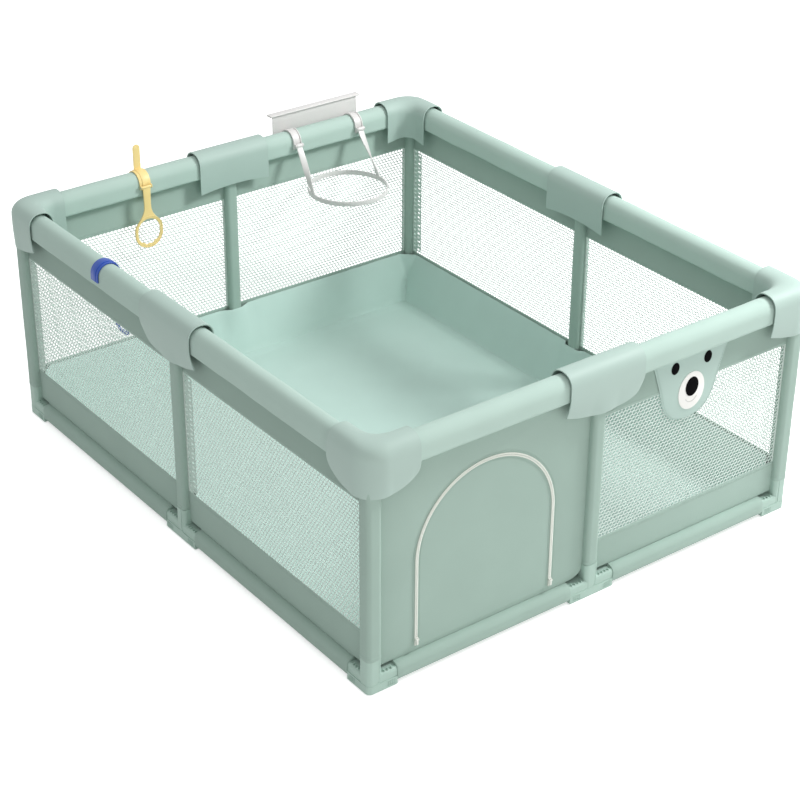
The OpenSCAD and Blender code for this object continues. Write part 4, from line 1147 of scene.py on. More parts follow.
@dataclass
class NetPanels:
    """Knitted net between the bands: rows of slanted openings, and a ladder tape beside some posts."""

    wide: float = 0.0126
    high: float = 0.01
    yarn_t: float = 0.0007
    open_long: float = 0.0119
    open_short: float = 0.0087
    slant: float = 25.0
    rim_share: float = 0.75
    slack: float = 0.001
    binding: float = 0.0068
    binding_t: float = 0.0016
    ladder_w: float = 0.021
    ladder_h: float = 0.015
    ladder_open: Pair = (0.7, 0.5)
    ladder_deep: float = 2.2
    ladder_in: float = 0.0015

    def cell(self, wide: float, high: float, long: float, short: float, slant: float) -> Shape:
        """One cell of a tape about the origin: a rectangle round an oval opening, front, back and rim."""
        edge = [(-1, -1), (0, -1), (1, -1), (1, 0), (1, 1), (0, 1), (-1, 1), (-1, 0)]
        turn = radians(slant)
        hole = []
        for x, y in edge:
            a = atan2(y * high, x * wide) - turn
            x, y = cos(a) * long / 2, sin(a) * short / 2
            hole.append((x * cos(turn) - y * sin(turn), x * sin(turn) + y * cos(turn)))
        outer = [(x * wide / 2, y * high / 2) for x, y in edge]
        t = self.yarn_t / 2
        rim = t * self.rim_share
        rings = [[(x, y, z) for x, y in ring]
                 for ring, z in ((outer, -rim), (hole, -t), (hole, t), (outer, rim))]
        return Shape().grid(np.array(rings), wrap=True)

    def unit(self, wide: float, high: float) -> Shape:
        """Two rows of the net about the origin, the upper one half a cell further along."""
        cell = self.cell(wide, high, self.open_long, self.open_short, self.slant)
        step = (wide / 4, high / 2, 0)
        return cell.copy(lambda p: p - step) + cell.copy(lambda p: p + step)

    @staticmethod
    def panel(name: str, rows: Rows, finish: Material, cell: Shape, count: tuple[int, int],
              pitch: Pair, place: Place) -> Object:
        """A field of cells put into its place on a wall.

        Args:
            name: The piece's name.
            rows: The trees that repeat a form.
            finish: The material of the yarn.
            cell: The form that repeats.
            count: Columns and lines of it.
            pitch: Distance from one column and one line to the next.
            place: Turns points of the field, drawn about the origin, into the yard's axes.

        Returns:
            The field as one mesh.
        """
        piece = cell.build(name, finish)
        wide, high = (step * (n - 1) for step, n in zip(pitch, count))
        rows.run(piece, rows.field_tree, {"Columns": count[0], "Rows": count[1], "Wide": wide, "High": high,
                                          "Finish": finish})
        points = np.array([v.co for v in piece.data.vertices], float)
        piece.data.vertices.foreach_set("co", place(points).astype(np.float32).ravel())
        piece.data.update()
        return piece

    def make(self, finishes: Finishes, rows: Rows) -> None:
        """Builds the nets of the four walls and the ladder tapes of the long walls."""
        height = PLAN.net_high - PLAN.net_low
        for wall in Wall:
            length = wall.half - 2 * PLAN.side_gap
            columns, pairs = round(length / self.wide - 0.5), round(height / self.high / 2)
            wide, high = length / (columns + 0.5), (height - self.slack) / pairs / 2
            unit = self.unit(wide, high)
            for side in ((1,) if wall is Wall.FRONT else (1, -1)):
                name = f"net_cloth_{wall.label}_{'right' if side > 0 else 'left'}"
                mesh = self.panel(name, rows, finishes["net"], unit, (columns, pairs), (wide, 2 * high),
                                  lambda p, w=wall, s=side, x=PLAN.side_gap + length / 2: on_wall(w, np.stack(
                                      [p[:, 0] + s * x, p[:, 2] * s, p[:, 1] + PLAN.net_mid], axis=1)))
                net = join(name, [mesh] + self.bindings(name, wall, side, finishes["net"]))
                outwards(net.data)
                finishes.ride(net, "net", f"net_{wall.label}")
        self.ladders(finishes, rows)

    def bindings(self, name: str, wall: Wall, side: int, finish: Material) -> list[Object]:
        """The two strips that bind a bay's net along the posts."""
        gap, low, high, t = PLAN.side_gap, PLAN.net_low, PLAN.net_high, self.binding_t
        starts = (gap, wall.half - gap - self.binding) if side > 0 else (gap - wall.half, -gap - self.binding)
        return [plate([np.array([(a, low), (a + self.binding, low), (a + self.binding, high), (a, high)])],
                      t, 0.0005, lambda p: on_wall(wall, np.stack([p[:, 0], p[:, 2] - t / 2, p[:, 1]], axis=1)),
                      f"{name}_edge_{n}", finish) for n, a in enumerate(starts)]

    def ladders(self, finishes: Finishes, rows: Rows) -> None:
        """The ladder tapes just in front of the back and middle posts of the long walls."""
        wide, high = self.ladder_w, self.ladder_h
        lines = int((PLAN.net_high - PLAN.net_low) / high)
        cell = self.cell(wide, high, wide * self.ladder_open[0], high * self.ladder_open[1], 0.0)
        tapes = []
        edge = PLAN.half_l - PLAN.side_gap - self.ladder_in
        for wall, way, x in ((Wall.RIGHT, 1, edge), (Wall.LEFT, -1, edge), (Wall.LEFT, -1, -PLAN.side_gap)):
            for column in (0, 1):
                middle = way * (x - (column + 0.5) * wide)
                tapes.append(self.panel(
                    f"tape_{len(tapes)}", rows, finishes["tape"], cell, (1, lines - column), (wide, high),
                    lambda p, w=wall, m=middle: on_wall(w, np.stack(
                        [p[:, 0] + m, p[:, 2] * self.ladder_deep, p[:, 1] + PLAN.net_mid], axis=1))))
        tape = join("net_ladder_tapes", tapes)
        outwards(tape.data)
        finishes.ride(tape, "tape")


# -------- floor
@dataclass
class FloorMat:
    """The sewn floor: one sheet that lies on the ground and climbs the walls at its rim.

    The sag is the slope's power and share, and the foot the height and reach of the fold below it.
    """

    rim_in: float = 0.0212
    run: float = 0.042
    top: float = 0.158
    sag: Pair = (1.02, 0.99)
    foot: Pair = (0.0035, 0.25)
    spread: float = 0.0178
    post_clear: float = 0.024
    post_ease: float = 0.022
    cloth_t: float = 0.0024
    lie: float = 0.002
    lump: float = 0.0026
    fold: float = 0.0022
    step: float = 0.02

    def height(self, d: float) -> float:
        """Height of the cloth at distance d from the rim, a slope with a soft foot."""
        s = min(max(d / self.run, 0.0), 1.0)
        (power, share), (soft, reach) = self.sag, self.foot
        return self.lie + (self.top * (1 - s)) ** power * share + soft * exp(-((s - 1) / reach) ** 2)

    def reach(self, d: float, along: float, half: float) -> float:
        """How far the rim comes out to the wall's cloth between the posts, at distance d from the rim."""
        post = min(abs(along), abs(half - abs(along)))
        bay = min(1.0, max(0.0, (post - self.post_clear) / self.post_ease))
        return self.spread * bay * bay * (3 - 2 * bay) * max(0.0, 1 - max(d, 0.0) / self.run)

    def stations(self, half: float) -> np.ndarray:
        """Places across the floor, close together where the cloth bends."""
        side = self.run * np.concatenate([np.linspace(0, 0.8, 7), np.linspace(0.86, 1.35, 6)])
        edge = half - self.rim_in
        flat = edge - self.run * 1.6
        inner = np.linspace(-flat, flat, int(half * 2 / self.step))
        return np.concatenate([-(edge - side), inner, (edge - side)[::-1]])

    def make(self, finishes: Finishes) -> None:
        """Builds the floor with its folds."""
        xs, ys = self.stations(PLAN.half_w), self.stations(PLAN.half_l)
        rows = []
        for y in ys:
            row = []
            for x in xs:
                dx, dy = PLAN.half_w - self.rim_in - abs(x), PLAN.half_l - self.rim_in - abs(y)
                near = min(dx, dy)
                z = max(self.height(dx), self.height(dy)) if near < self.run * 1.4 else self.lie
                ease = min(1.0, max(0.0, (near - 0.03) / 0.1))
                lump = wander(x * 0.6 + 3, y * 1.5, 0.0, 0.17) + 0.5 * wander(x * 2.2, y * 0.7, 4.0, 0.12)
                z += self.lump * ease * max(0.0, lump) ** 1.3
                fold = self.fold * (1 - ease) * wander(x * 3, y * 3, z * 4, 0.13)
                reach_x, reach_y = self.reach(dx, y, PLAN.half_l), self.reach(dy, x, PLAN.half_w)
                row.append((x + copysign(reach_x - abs(fold) * (dx < self.run), x),
                            y + copysign(reach_y - abs(fold) * (dy < self.run), y), z))
            rows.append(row)
        sheet = Shape().grid(np.array(rows)).build("floor_cloth", finishes["floor"], 60.0)
        piece = thicken(sheet, self.cloth_t, 0.0005)
        finishes.ride(piece, "floor", "floor_sheet", "floor_skirt")
        climb = hypot(self.top, self.run)


# -------- doorway
@dataclass
class Doorway:
    """The zipped doorway: a panel with an arched opening, a flap that fills it, and the zip round it.

    The cut is the panel's rounded corner beside the post, and the bend the flap's strip near its foot, where
    its rows lie close.
    """

    middle: float = -0.355
    radius: float = 0.22
    leg: float = 0.25
    fold: float = 0.076
    foot_in: float = 0.0017
    cut: Pair = (0.046, 0.03)
    cloth_t: float = 0.0018
    edge_play: float = 0.0015
    belly: float = 0.0022
    tape_w: float = 0.0044
    tape_t: float = 0.0024
    tape_play: float = 0.0004
    front: float = 0.0012
    coil_off: float = 0.0016
    teeth: Stitch = Stitch(0.0026, 0.0026, 0.00055, across=True)
    seam_off: float = 0.0105
    seam_front: float = 0.0011
    stitch: Stitch = Stitch(0.0055, 0.0036, 0.0004)
    bend: Pair = (0.014, 0.022)

    @property
    def spring(self) -> float:
        """Height where the straight legs end and the arch begins."""
        return self.fold + self.leg

    def arch(self, radius: float, low: float) -> np.ndarray:
        """Outline of the doorway at a radius, down to a height."""
        right, left = self.middle + radius, self.middle - radius
        top = [(self.middle + radius * cos(a), self.spring + radius * sin(a))
               for a in np.linspace(0, pi, 65)]
        side = np.linspace(self.spring, low, 24)[1:]
        return np.array([(right, z) for z in side[::-1]] + top + [(left, z) for z in side])

    @staticmethod
    def on_front(points: np.ndarray, lift: float = 0.0) -> np.ndarray:
        """Turns a plate's points into the front wall's plane, its thickness outwards from lift."""
        return on_wall(Wall.FRONT, np.stack([points[:, 0], -points[:, 2] - lift, points[:, 1]], axis=1))

    def line(self, radius: float, low: float, lift: float) -> np.ndarray:
        """The doorway's outline at a radius, as a line in front of the wall."""
        arch = self.arch(radius, low)
        return self.on_front(np.column_stack([arch, np.zeros(len(arch))]), lift)

    def panel(self, finishes: Finishes, cloth: WallCloth) -> None:
        """The fixed panel round the doorway."""
        outline = cloth.lower_outline(PLAN.half_w, self.cut) * (-1, 1)
        outline[outline[:, 1] > PLAN.net_low - 0.002, 1] += PLAN.cloth_top - PLAN.net_low
        hole = self.arch(self.radius + self.edge_play, self.fold - self.foot_in)
        piece = plate([outline, hole], self.cloth_t, 0.0006, lambda p: self.on_front(p, -self.cloth_t / 2),
                      "door_wall_cloth", finishes["wall"])
        finishes.ride(piece, "wall", "door_panel")

    def flap(self, finishes: Finishes) -> None:
        """The flap, which stays sewn at its foot, its rows close together there."""
        r, low, spring = self.radius - self.edge_play, self.fold - self.foot_in, self.spring
        levels = [*np.linspace(low, low + self.bend[0], 8), *np.linspace(low + self.bend[1], spring, 18),
                  *(spring + r * np.sin(np.linspace(0, pi / 2, 20)[1:]))]
        rows = []
        for z in levels:
            half = r if z <= spring else sqrt(max(r * r - (z - spring) ** 2, 1e-8))
            ease = min(1.0, (z - low) / 0.05)
            row = []
            for u in np.linspace(-1, 1, 33):
                inner = max(0.0, 1 - u * u) * min(1.0, max(0.0, (spring + r - z) / 0.12))
                out = self.belly * ease * inner * wander(u * 0.3, z, 2.0, 0.2)
                row.append((self.middle + half * u, out, z))
            rows.append(row)
        piece = Shape().grid(on_wall(Wall.FRONT, np.array(rows))).build("door_flap_cloth", finishes["wall"])
        thicken(piece, self.cloth_t, 0.0004)
        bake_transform(piece)
        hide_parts("door_flap")
        LOG.info("%s bends between pen and door", piece.name)

    def tape(self, side: int) -> Shape:
        """One half of the zip: a thick woven tape along the arch, outside it at side 1 and inside at -1."""
        line = self.arch(self.radius + side * (self.tape_play + self.tape_w / 2), self.fold + 0.0014)
        along = np.gradient(line, axis=0)
        along /= np.linalg.norm(along, axis=1)[:, None]
        across = np.stack([along[:, 1], -along[:, 0]], axis=1)
        w, t = self.tape_w / 2, self.tape_t
        section = rounded([(-w, 0, 0), (w, 0, 0), (w, t, 0.0012), (-w, t, 0.0012)], 5)
        rows = [[(p[0] + a[0] * s, p[1] + a[1] * s, q) for s, q in section] for p, a in zip(line, across)]
        flat = self.on_front(np.array(rows).reshape(-1, 3), self.front).reshape(len(rows), -1, 3)
        return Shape().grid(flat, wrap=True, ends=True)

    def zip(self, finishes: Finishes, rows: Rows) -> None:
        """Both halves of the zip with their coils, and the sliders."""
        for side, name, body, node in ((1, "zip_half_fixed", "pen", "zip_tape_fixed"),
                                       (-1, "zip_half_moving", "door", "zip_tape_moving")):
            tape = soften(self.tape(side).build(f"{name}_tape", finishes["zip"]), 0.0004)
            line = self.line(self.radius + side * self.coil_off, self.fold + 0.003, self.front + self.tape_t)
            coil = rows.stitches(f"{name}_coil", [line], finishes["zip_metal"], self.teeth)
            finishes.ride(join(name, [tape, coil]), "zip", node, body=body)
        finishes.dress("zip_metal", "zip_slider_left", "zip_slider_right", "zip_pull_left", "zip_pull_right")

    def make(self, finishes: Finishes, rows: Rows, cloth: WallCloth) -> None:
        """Builds the doorway."""
        self.panel(finishes, cloth)
        self.flap(finishes)
        self.zip(finishes, rows)
        for side, name, body in ((1, "zip_stitches_fixed", "pen"), (-1, "zip_stitches_moving", "door")):
            line = self.line(self.radius + side * self.seam_off, self.fold + 0.004, self.seam_front)
            seam = rows.stitches(name, [line], finishes["thread"], self.stitch)
            finishes.ride(seam, "thread", body=body)


# -------- bear apron
@dataclass
class BearApron:
    """The padded bear apron that hangs below the rail, with felt patches.

    The outline gives half widths by height. The muzzle, nose, eye and smile are given by X from the apron's
    middle, Z, width and height.
    """

    middle: float = 0.325
    low: float = 0.432
    high: float = 0.6346
    back: float = 0.0013
    thick: float = 0.0032
    crown: float = 0.0024
    outline: tuple[Pair, ...] = (
        (0.432, 0.0), (0.4335, 0.022), (0.438, 0.042), (0.446, 0.0585), (0.458, 0.0735), (0.4768, 0.086),
        (0.4968, 0.0945), (0.5173, 0.1005), (0.54, 0.1065), (0.5825, 0.1205), (0.61, 0.13), (0.6348, 0.142))
    muzzle: Four = (0.006, 0.514, 0.094, 0.112)
    nose: Four = (0.006, 0.5265, 0.046, 0.057)
    eye: Four = (0.059, 0.5985, 0.028, 0.035)
    smile: Four = (0.006, 0.5, 0.042, 0.038)
    hem: float = 0.006
    edge_stitch: Stitch = Stitch(0.006, 0.004, 0.0004)
    smile_stitch: Stitch = Stitch(0.003, 0.0032, 0.0007)

    def half_at(self, z: float) -> float:
        """Half of the apron's width at a height."""
        heights, halves = zip(*self.outline)
        return float(np.interp(z, heights, halves))

    def surface(self, x: float, z: float) -> float:
        """Distance of the apron's face from the wall's plane."""
        half = max(self.half_at(z), 0.004)
        u = min(abs(x - self.middle) / half, 1.0)
        v = min(1.0, (z - self.low) / 0.05)
        return self.back + self.thick + self.crown * (1 - u ** 4) * v

    def pad(self) -> Shape:
        """The apron as a crowned closed form with a rounded rim."""
        levels = self.low + (self.high - self.low) * (1 - np.cos(np.linspace(0.03, pi / 2, 44)))
        core = self.back + self.thick / 2
        rows = []
        for z in levels:
            half = self.half_at(z)
            row = []
            for a in np.linspace(0, 2 * pi, 72, endpoint=False):
                x = self.middle + half * copysign(abs(cos(a)) ** 0.55, cos(a))
                rise = abs(sin(a)) ** 0.6
                face = core + (self.surface(x, z) - core) * rise
                row.append((x, -face if sin(a) < 0 else -(self.back + self.thick / 2 * (1 - rise)), z))
            rows.append(row)
        return Shape().grid(on_wall(Wall.FRONT, np.array(rows)), wrap=True, ends=True)

    def patch(self, name: str, finish: Material, oval: Four,
              depth: float, lift: float) -> Object:
        """An oval felt patch with a rounded rim that lies on the apron."""
        x, z, wide, high = oval
        turn = np.linspace(0, 2 * pi, 49)[:-1]
        rim = np.stack([self.middle + x + wide / 2 * np.cos(turn), z + high / 2 * np.sin(turn)], axis=1)
        return plate([rim], depth, depth * 0.45, lambda p: Doorway.on_front(
            np.stack([p[:, 0], p[:, 1], p[:, 2] + np.array([self.surface(a, b) for a, b in p[:, :2]])], axis=1),
            lift), name, finish)

    def sewn(self, line: Sequence[Pair], lift: float, share: float = 1.0) -> np.ndarray:
        """A line by X and Z, laid at a share of the apron's depth and lifted off that."""
        return on_wall(Wall.FRONT, np.array([(x, -(self.surface(x, z) * share + lift), z) for x, z in line]))

    def make(self, finishes: Finishes, rows: Rows) -> None:
        """Builds the apron, its patches and its stitching."""
        apron = self.pad().build("bear_apron_pad", finishes["bear"], 60.0)
        finishes.ride(apron, "bear", "bear_apron")
        muzzle = self.patch("bear_muzzle_patch", finishes["bear_white"], self.muzzle, 0.0022, -0.0004)
        finishes.ride(muzzle, "bear_white", "bear_muzzle")
        dark = [self.patch("bear_nose", finishes["bear_black"], self.nose, 0.0016, 0.0016)]
        for n, side in enumerate((-1, 1)):
            x, *rest = self.eye
            dark.append(self.patch(f"bear_eye_{n}", finishes["bear_black"], (side * x, *rest), 0.0014, -0.0003))
        finishes.ride(join("bear_eyes_and_nose", dark), "bear_black", "bear_features")
        left = [(self.middle - self.half_at(z) + self.hem, z) for z in np.linspace(0.6335, 0.4375, 40)
                if self.half_at(z) > 2 * self.hem]
        edge = self.sewn(left + [(2 * self.middle - x, z) for x, z in left[::-1]], 0.0, 0.995)
        seam = rows.stitches("bear_edge_stitches", [edge], finishes["bear_thread"], self.edge_stitch)
        finishes.ride(seam, "bear_thread")
        x, z, wide, high = self.smile
        arc = self.sewn([(self.middle + x + wide / 2 * sin(a), z - high / 2 * cos(a))
                         for a in np.linspace(-1.1, 1.1, 25)], 0.0019)
        mouth = rows.stitches("bear_smile_stitches", [arc], finishes["smile"], self.smile_stitch)
        finishes.ride(mouth, "smile")


# -------- rings, clips and the hoop
@dataclass
class RailClip:
    """A moulded band that grips the padded rail, its hinge ears and the pin through them."""

    width: float = 0.038
    wall_t: float = 0.0035
    seat: float = 0.0003
    low_in: float = -0.01
    low_out: float = -0.014
    raised: float = 0.0015
    ear_t: float = 0.0032
    ear_in: float = 0.001
    ear_up: float = 0.006
    ear_past: float = 0.004
    edge: float = 0.0009
    fine_edge: float = 0.0006
    pin_out: float = 0.005
    pin_r: float = 0.0025
    play: float = 0.00006
    fit: float = 0.0001

    @property
    def ear_near(self) -> float:
        """Distance of the ears' roots from the wall's plane, inwards."""
        return PLAN.rail_w / 2 + self.seat + self.ear_in

    def over(self, offset: float, low_in: float, low_out: float) -> list[Pair]:
        """Points over the rail at an offset from it, from the inner side's lower end to the outer's."""
        w, h = PLAN.rail_w / 2 + offset, PLAN.rail_h / 2 + offset
        arc = rounded([(w, low_in, 0), (w, h, w - 0.0005), (-w, h, w - 0.0005), (-w, low_out, 0)], 16)
        return [(d, z + PLAN.rail_z) for d, z in arc]

    def band(self, near: float, far: float, low_in: float, low_out: float) -> np.ndarray:
        """Closed outline of a band between two offsets from the rail."""
        return np.array(self.over(near, low_in, low_out) + self.over(far, low_in, low_out)[::-1])

    @property
    def pin_in(self) -> float:
        """Distance of the pin from the wall's plane, inwards."""
        return PLAN.rail_w / 2 + self.seat + self.wall_t + self.pin_out


def along_x(points: np.ndarray, start: float) -> np.ndarray:
    """Turns a plate drawn as distance inwards and height so that its thickness runs along the wall."""
    return np.stack([points[:, 2] + start, points[:, 0], points[:, 1]], axis=1)


def disc(radius: float, middle: Pair, count: int = 40) -> np.ndarray:
    """A circle's outline."""
    turn = np.linspace(0, 2 * pi, count, endpoint=False)
    return np.stack([middle[0] + radius * np.cos(turn), middle[1] + radius * np.sin(turn)], axis=1)


@dataclass
class PullRing:
    """A pull-up ring: a clip on the rail, a pin and a flat oval handle that swings on it.

    The waist gives the stem's edge from the pin down, by distance inside its half width and height. The wave
    gives the height, pitch and reach of the finger waves.
    """

    key: str
    wall: Wall
    along: float
    body: str
    thumb: bool
    clip: RailClip = field(default_factory=RailClip)
    stem_w: float = 0.027
    stem_t: float = 0.0045
    waist: tuple[Pair, ...] = (
        (0.0, 0.002), (0.0012, -0.03), (0.002, -0.056), (0.0008, -0.074), (-0.004, -0.088), (-0.012, -0.1),
        (-0.021, -0.11))
    length: float = 0.2
    ring_w: float = 0.097
    ring_h: float = 0.106
    rim: float = 0.011
    wave: Triple = (0.0042, 0.02, 0.03)
    lip_t: float = 0.0012
    lip_in: float = 0.0002
    barrel_t: float = 0.0018
    thumb_h: float = 0.084
    thumb_in: float = 0.007
    thumb_out: float = 0.006

    def put(self, points: np.ndarray) -> np.ndarray:
        """Turns points drawn about the clip's middle into the yard's axes."""
        return on_wall(self.wall, points + (self.along, 0, 0))

    def slab(self, finish: Material, part: str, outlines: Loops, depth: float, edge: float,
             start: float) -> Object:
        """A plate that stands across the rail, its thickness along the wall from start."""
        return plate(outlines, depth, edge, lambda p: self.put(along_x(p, start)), f"{self.key}_{part}", finish)

    def leaf(self, finish: Material, part: str, outlines: Loops, depth: float, edge: float, place: Pair,
             way: int = -1) -> Object:
        """A plate that lies along the wall, at a distance inwards and a height, thick outwards at way -1."""
        y, z = place
        return plate(outlines, depth, edge, lambda p: self.put(
            np.stack([p[:, 0], y + way * p[:, 2], p[:, 1] + z], axis=1)), f"{self.key}_{part}", finish)

    def oval(self, shrink: float) -> list[Pair]:
        """The ring's oval about its middle, smaller by shrink on all sides."""
        w, h = self.ring_w / 2 - shrink, self.ring_h / 2 - shrink
        r = w - 0.001
        return [(copysign(max(w - r, 0), cos(a)) + r * cos(a),
                 copysign(h - r, sin(a)) + r * sin(a))
                for a in np.linspace(0, 2 * pi, 96, endpoint=False)]

    def handle(self, finish: Material) -> Object:
        """The swinging handle: barrel, stem and ring with a finger wave."""
        c, s, middle = self.clip, self.stem_w / 2, -self.length + self.ring_h / 2
        outer = [(x, z + middle) for x, z in self.oval(0.0) if z < self.ring_h * 0.27]
        outer.sort(key=lambda p: (atan2(p[1] - middle, p[0]) - pi * 0.5) % (2 * pi))
        left = [(-s + x, z) for x, z in self.waist]
        outline = left + outer + [(-x, z) for x, z in left[::-1]]
        high, pitch, reach = self.wave
        hole = []
        for x, z in self.oval(self.rim):
            wave = high * (1 + cos(2 * pi * x / pitch)) / 2 if z < 0 and abs(x) < reach else 0.0
            hole.append((x, z + middle + wave))
        y, z = c.pin_in, PLAN.pin_z
        face, length = y + self.stem_t / 2, c.width - 2 * c.ear_t - 0.001
        lips = [np.array(self.oval(shrink)) + (0, middle) for shrink in (0.0012, 0.004)]
        return join(f"{self.key}_handle", [
            self.leaf(finish, "handle_flat", [np.array(outline), np.array(hole)], self.stem_t, 0.0017,
                      (face, z)),
            self.slab(finish, "barrel", [disc(c.pin_r + self.barrel_t, (y, z)), disc(c.pin_r + c.play, (y, z))],
                      length, 0.0004, -length / 2),
            self.leaf(finish, "lip", lips, self.lip_t, 0.0005, (face - self.lip_in, z), 1)])

    def grip(self, finish: Material) -> Object:
        """The fixed clip with its raised middle band, ears and thumb tab."""
        c, z = self.clip, PLAN.pin_z
        face, near, far, up = c.seat + c.wall_t, c.ear_near, c.pin_in + c.ear_past, c.ear_up
        parts = [self.slab(finish, "band", [c.band(c.seat, face, c.low_in, c.low_out)], c.width, c.edge,
                           -c.width / 2),
                 self.slab(finish, "raised", [c.band(face - 0.0005, face + c.raised, 0.01, c.low_out + 0.002)],
                           c.width / 2, c.fine_edge, -c.width / 4)]
        ear = rounded([(near, z - up, c.ear_in), (far, z - up, c.ear_past), (far, z + up, c.ear_past),
                       (near, z + up, c.ear_in)])
        for side in (-1, 1):
            start = side * (c.width / 2 - c.ear_t / 2) - c.ear_t / 2
            parts.append(self.slab(finish, f"ear_{side}", [ear, disc(c.pin_r + c.fit, (c.pin_in, z))], c.ear_t,
                                   c.fine_edge, start))
        if self.thumb:
            half, r = c.width / 2 - self.thumb_in, c.width / 2 - self.thumb_in - 0.0002
            low, top = PLAN.rail_top + c.wall_t / 2, PLAN.rail_top + self.thumb_h
            tab = rounded([(-half, low, 0.001), (half, low, 0.001), (half, top, r), (-half, top, r)], 14)
            parts.append(self.leaf(finish, "thumb", [tab], c.wall_t, 0.0013, (-self.thumb_out, 0.0)))
        return join(f"{self.key}_rail_clip", parts)

    def make(self, finishes: Finishes) -> Object:
        """Builds the ring and its clip, and returns the steel pin."""
        finishes.ride(self.grip(finishes[self.key]), self.key, f"{self.key}_clip")
        finishes.ride(self.handle(finishes[self.key]), self.key, f"{self.key}_ring", body=self.body)
        half = self.clip.width / 2 + 0.001
        return self.slab(finishes["tube"], "pin", [disc(self.clip.pin_r, (self.clip.pin_in, PLAN.pin_z), 28)],
                         2 * half, 0.0005, -half)


